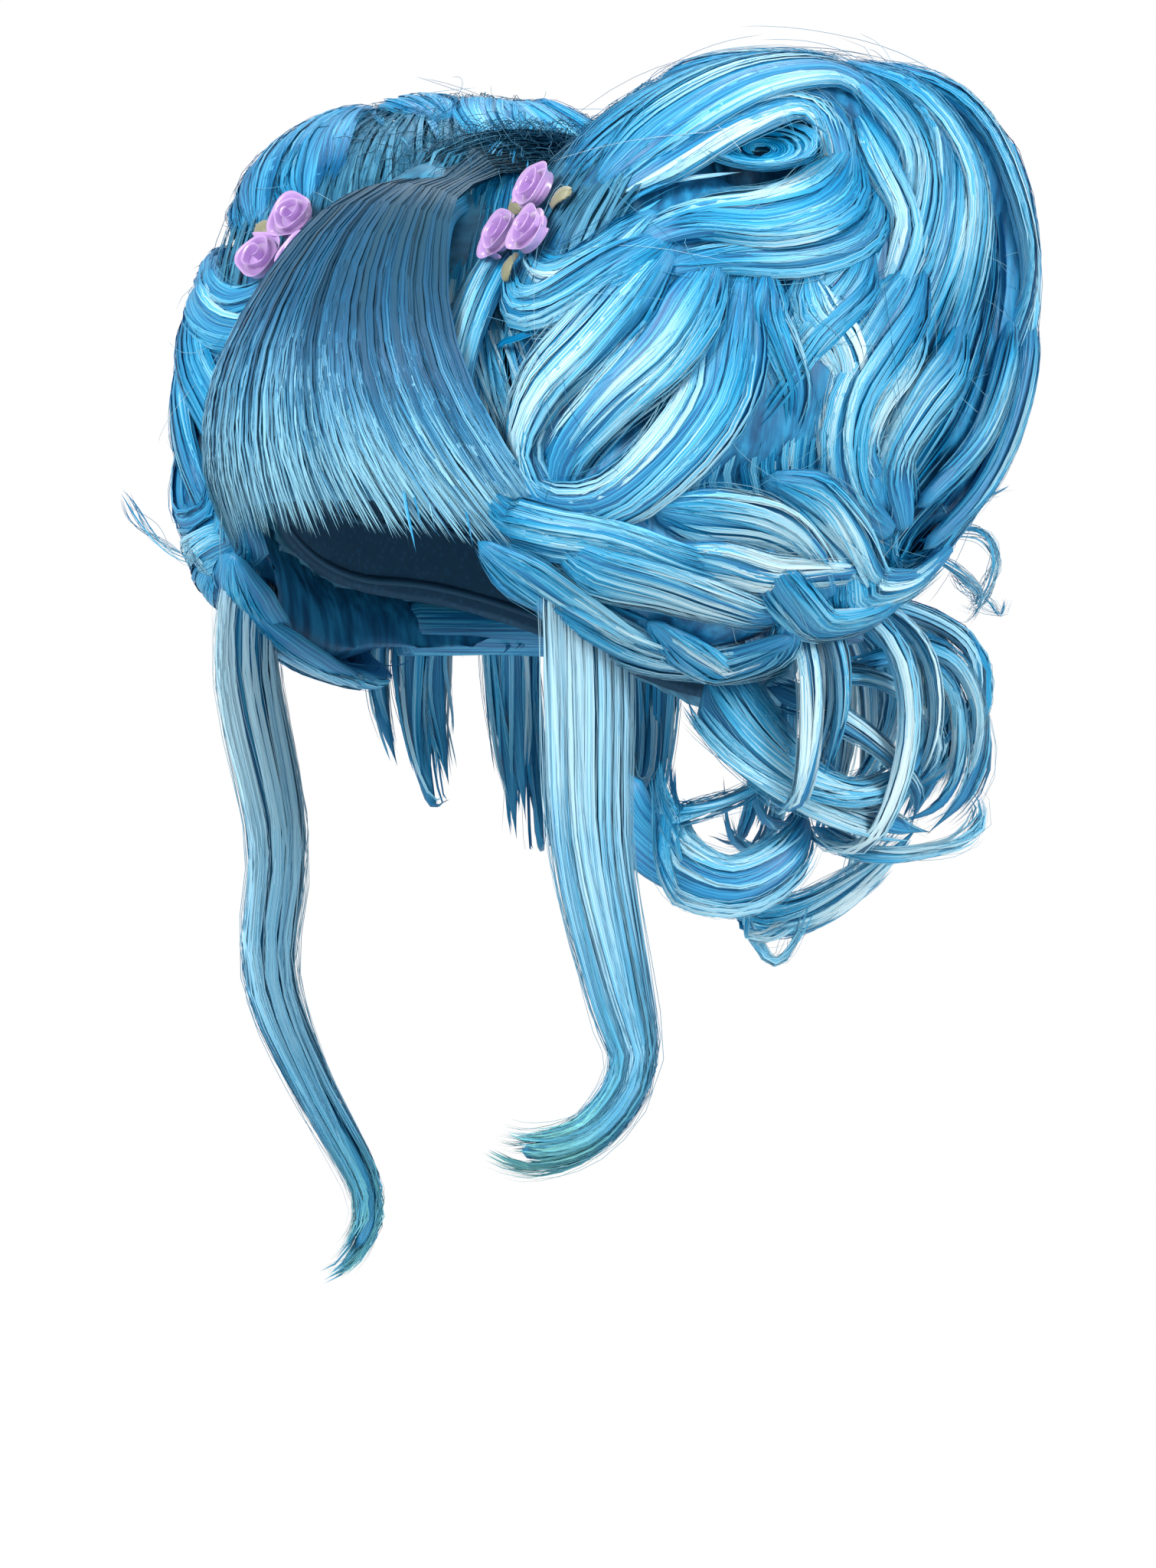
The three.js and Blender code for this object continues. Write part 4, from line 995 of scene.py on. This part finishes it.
def ribbonRose(seed):
    bm = bmesh.new()
    grid = bmesh.ops.create_grid(bm, x_segments=96, y_segments=6, size=0.5)["verts"]
    for vert in grid:
        t, v = vert.co.x + 0.5, vert.co.y + 0.5
        angle = 2 * math.pi * rose["turns"] * t + seed
        petals = 0.9 * t * math.sin(3.4 * angle + seed)
        base = rose["bud"] + (0.78 * rose["radius"] - rose["bud"]) * t**0.85
        flare = (0.25 + 0.9 * t) * v**2.2 * 1.5
        fold = 0.5 * math.sin(math.pi * v) * t
        radius = (base + flare + petals * v - fold) * mm
        top = rose["height"] * (1 - 0.42 * t**1.5) * mm
        vert.co = Vector((radius * math.cos(angle), radius * math.sin(angle), top * v + 0.3 * mm))
    bmesh.ops.solidify(bm, geom=bm.faces[:], thickness=rose["ribbon"] * mm)
    foot = bmesh.ops.create_cone(bm, cap_ends=True, segments=20, radius1=0.5 * rose["radius"] * mm,
                                 radius2=0.72 * rose["radius"] * mm, depth=2.4 * mm)["verts"]
    bmesh.ops.translate(bm, verts=foot, vec=(0, 0, 1.4 * mm))
    return bm


def ribbonLeaf():
    bm = bmesh.new()
    grid = bmesh.ops.create_grid(bm, x_segments=14, y_segments=8, size=0.5)["verts"]
    for vert in grid:
        x, y = vert.co.x, 2 * vert.co.y
        halfWidth = 3.0 * math.sqrt(max(0.02, 1 - (2 * abs(x)) ** 2.6))
        lift = 1.6 * math.cos(math.pi * x) - 0.9 * abs(y) + 0.15 * math.sin(40 * x)
        vert.co = Vector((10 * x * mm, halfWidth * y * mm, (lift + 0.6) * mm))
    bmesh.ops.solidify(bm, geom=bm.faces[:], thickness=0.4 * mm)
    return bm


def buildRoses(side):
    places = [sum((Vector(c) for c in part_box("rose_%s_%d" % (side, k))), Vector()) / 2 for k in (1, 2, 3)]
    middle = sum(places, Vector()) / 3
    turned = facing(middle, side)
    places = [middle + rose["apart"] * (place - middle) for place in places]
    for k, place in enumerate(places):
        bm = ribbonRose(1.3 * k + (0 if side == "left" else 2))
        seat = place - turned @ Vector((0, 0, 0.5 * rose["height"] * mm))
        bmesh.ops.transform(bm, matrix=Matrix.Translation(seat) @ turned.to_4x4(), verts=bm.verts)
        addPiece("%sRose%d" % (side, k + 1), meshFrom(bm), satin, ["rose_%s_%d" % (side, k + 1)])
    for k in (1, 2, 3):
        place = sum((Vector(c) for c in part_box("leaf_%s_%d" % (side, k))), Vector()) / 2
        away = rose["apart"] * (place - middle)
        place = middle + away
        away = (away - turned.col[2] * away.dot(turned.col[2])).normalized()
        across = turned.col[2].cross(away)
        turn = Matrix((away, across, turned.col[2])).transposed()
        bm = ribbonLeaf()
        bmesh.ops.transform(bm, matrix=Matrix.Translation(place) @ turn.to_4x4(), verts=bm.verts)
        addPiece("%sLeaf%d" % (side, k), meshFrom(bm), olive, ["leaf_%s_%d" % (side, k)])


buildRoses("left")
buildRoses("right")
print("roses done")


# Net cap with its rows of wefts inside, and the folded weft ends beside the fringe
capLook = {"wefts": [28, 40, 52, 64, 76, 88, 100], "bandWidth": 2.6, "bandThickness": 0.8}
netCloth, netNodes, netLinks, netShader = newMaterial("netCloth", 0.8)
netPlace = netNodes.new("ShaderNodeTexCoord")
netHoles = netNodes.new("ShaderNodeTexVoronoi")
netHoles.inputs["Scale"].default_value = 420
netRamp = rampOf(netNodes, [(0.1, "1f587c"), (0.45, "174a69")])
netLinks.new(netPlace.outputs["Object"], netHoles.inputs["Vector"])
netLinks.new(netHoles.outputs["Distance"], netRamp.inputs["Fac"])
netLinks.new(netRamp.outputs["Color"], netShader.inputs["Base Color"])
bandCloth = newMaterial("bandCloth", 0.7)[0]
bandCloth.node_tree.nodes["Principled BSDF"].inputs["Base Color"].default_value = paint("17506f")
weftThread = bodyMaterial("weftThread", [(0.35, "271e17"), (0.65, "4d3d2c")], (600, 600, 1500), 0.8, "Object", 0.3)


def rimLean(turn):
    front, back = max(0, math.cos(turn)) ** 2, max(0, -math.cos(turn)) ** 2
    drop = front * 58 + back * 146 + (1 - front - back) * 112
    return math.acos(1 - drop / 95)


def buildCap():
    bm = bmesh.new()
    bm.from_mesh(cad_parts["cap"].data)
    bmesh.ops.remove_doubles(bm, verts=bm.verts, dist=1e-6)
    mesh = bpy.data.meshes.new("netCap")
    bm.to_mesh(mesh)
    bm.free()
    mesh.materials.clear()
    piece = addPiece("netCap", mesh, netCloth, ["cap"])
    rounder = piece.modifiers.new("rounder", "SUBSURF")
    rounder.levels = rounder.render_levels = 1
    bm = bmesh.new()
    for lean in capLook["wefts"]:
        grid = bmesh.ops.create_grid(bm, x_segments=90, y_segments=1, size=0.5)["verts"]
        for vert in grid:
            turn = 2 * math.pi * (vert.co.x + 0.5)
            here = math.radians(lean + (capLook["bandWidth"] / 95 * 57.3) * vert.co.y)
            here *= rimLean(turn) / rimLean(math.pi / 2) * 0.97
            rise = -capLook["bandThickness"] - 0.7
            vert.co = Vector(((76 + rise) * math.sin(here) * math.sin(turn) * mm,
                              -(95 + rise) * math.sin(here) * math.cos(turn) * mm,
                              ((95 + rise) * math.cos(here) - 95) * mm))
        bmesh.ops.remove_doubles(bm, verts=grid, dist=1e-6)
    bmesh.ops.solidify(bm, geom=bm.faces[:], thickness=capLook["bandThickness"] * mm)
    addPiece("capWefts", meshFrom(bm), bandCloth)
    for side in ("left", "right"):
        for k in (1, 2):
            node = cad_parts["weft_end_%s_%d" % (side, k)]
            node.data.materials.clear()
            node.data.materials.append(weftThread)


buildCap()
print("cap done")


# Studio: a pale floor well below, soft lights and the photo's camera
bm = bmesh.new()
bmesh.ops.create_grid(bm, x_segments=1, y_segments=1, size=studio["floorHalf"] * mm)
bmesh.ops.translate(bm, verts=bm.verts, vec=(0, 0, studio["floorHeight"] * mm))
floorMesh = bpy.data.meshes.new("floor")
bm.to_mesh(floorMesh)
bm.free()
floorPaint = newMaterial("floorPaint", 0.9)[0]
floorPaint.node_tree.nodes["Principled BSDF"].inputs["Base Color"].default_value = paint("f7f8fa")
floorPaint.node_tree.nodes["Principled BSDF"].inputs["Specular IOR Level"].default_value = 0.1
floorMesh.materials.append(floorPaint)
floor = bpy.data.objects.new("floor", floorMesh)
bpy.context.collection.objects.link(floor)

world = bpy.data.worlds.new("studio")
world.use_nodes = True
# The backdrop is white, and gives the wig a softer fill than its own brightness
ray = world.node_tree.nodes.new("ShaderNodeLightPath")
glow = world.node_tree.nodes.new("ShaderNodeMath")
glow.operation = "MULTIPLY_ADD"
glow.inputs[1].default_value = studio["backdrop"] - studio["fill"]
glow.inputs[2].default_value = studio["fill"]
backdrop = world.node_tree.nodes["Background"]
backdrop.inputs["Color"].default_value = (1, 1, 1, 1)
world.node_tree.links.new(ray.outputs["Is Camera Ray"], glow.inputs[0])
world.node_tree.links.new(glow.outputs["Value"], backdrop.inputs["Strength"])
bpy.context.scene.world = world
bpy.context.scene.view_settings.view_transform = "Standard"


def addLight(name, place, size, power):
    light = bpy.data.lights.new(name, "AREA")
    light.size, light.energy = size, power
    lamp = bpy.data.objects.new(name, light)
    lamp.location = place
    lamp.rotation_euler = (Vector((0, 0, -0.08)) - Vector(place)).to_track_quat("-Z", "Y").to_euler()
    bpy.context.collection.objects.link(lamp)


addLight("keyLight", (0.1, -1.5, 0.7), 0.7, 27)
addLight("sideLight", (1.5, 0.3, 0.5), 0.5, 19)
addLight("topLight", (-0.5, 0.6, 1.6), 0.9, 12)

azimuth = math.radians(studio["azimuth"])
back = Vector((math.sin(azimuth), -math.cos(azimuth), 0))
aim = Vector(studio["aim"]) * mm
lens = bpy.data.cameras.new("photoCamera")
lens.lens = studio["lens"]
camera = bpy.data.objects.new("photoCamera", lens)
camera.location = aim + back * studio["distance"] * mm
camera.rotation_euler = back.to_track_quat("Z", "Y").to_euler()
bpy.context.collection.objects.link(camera)
bpy.context.scene.camera = camera
print("studio done")
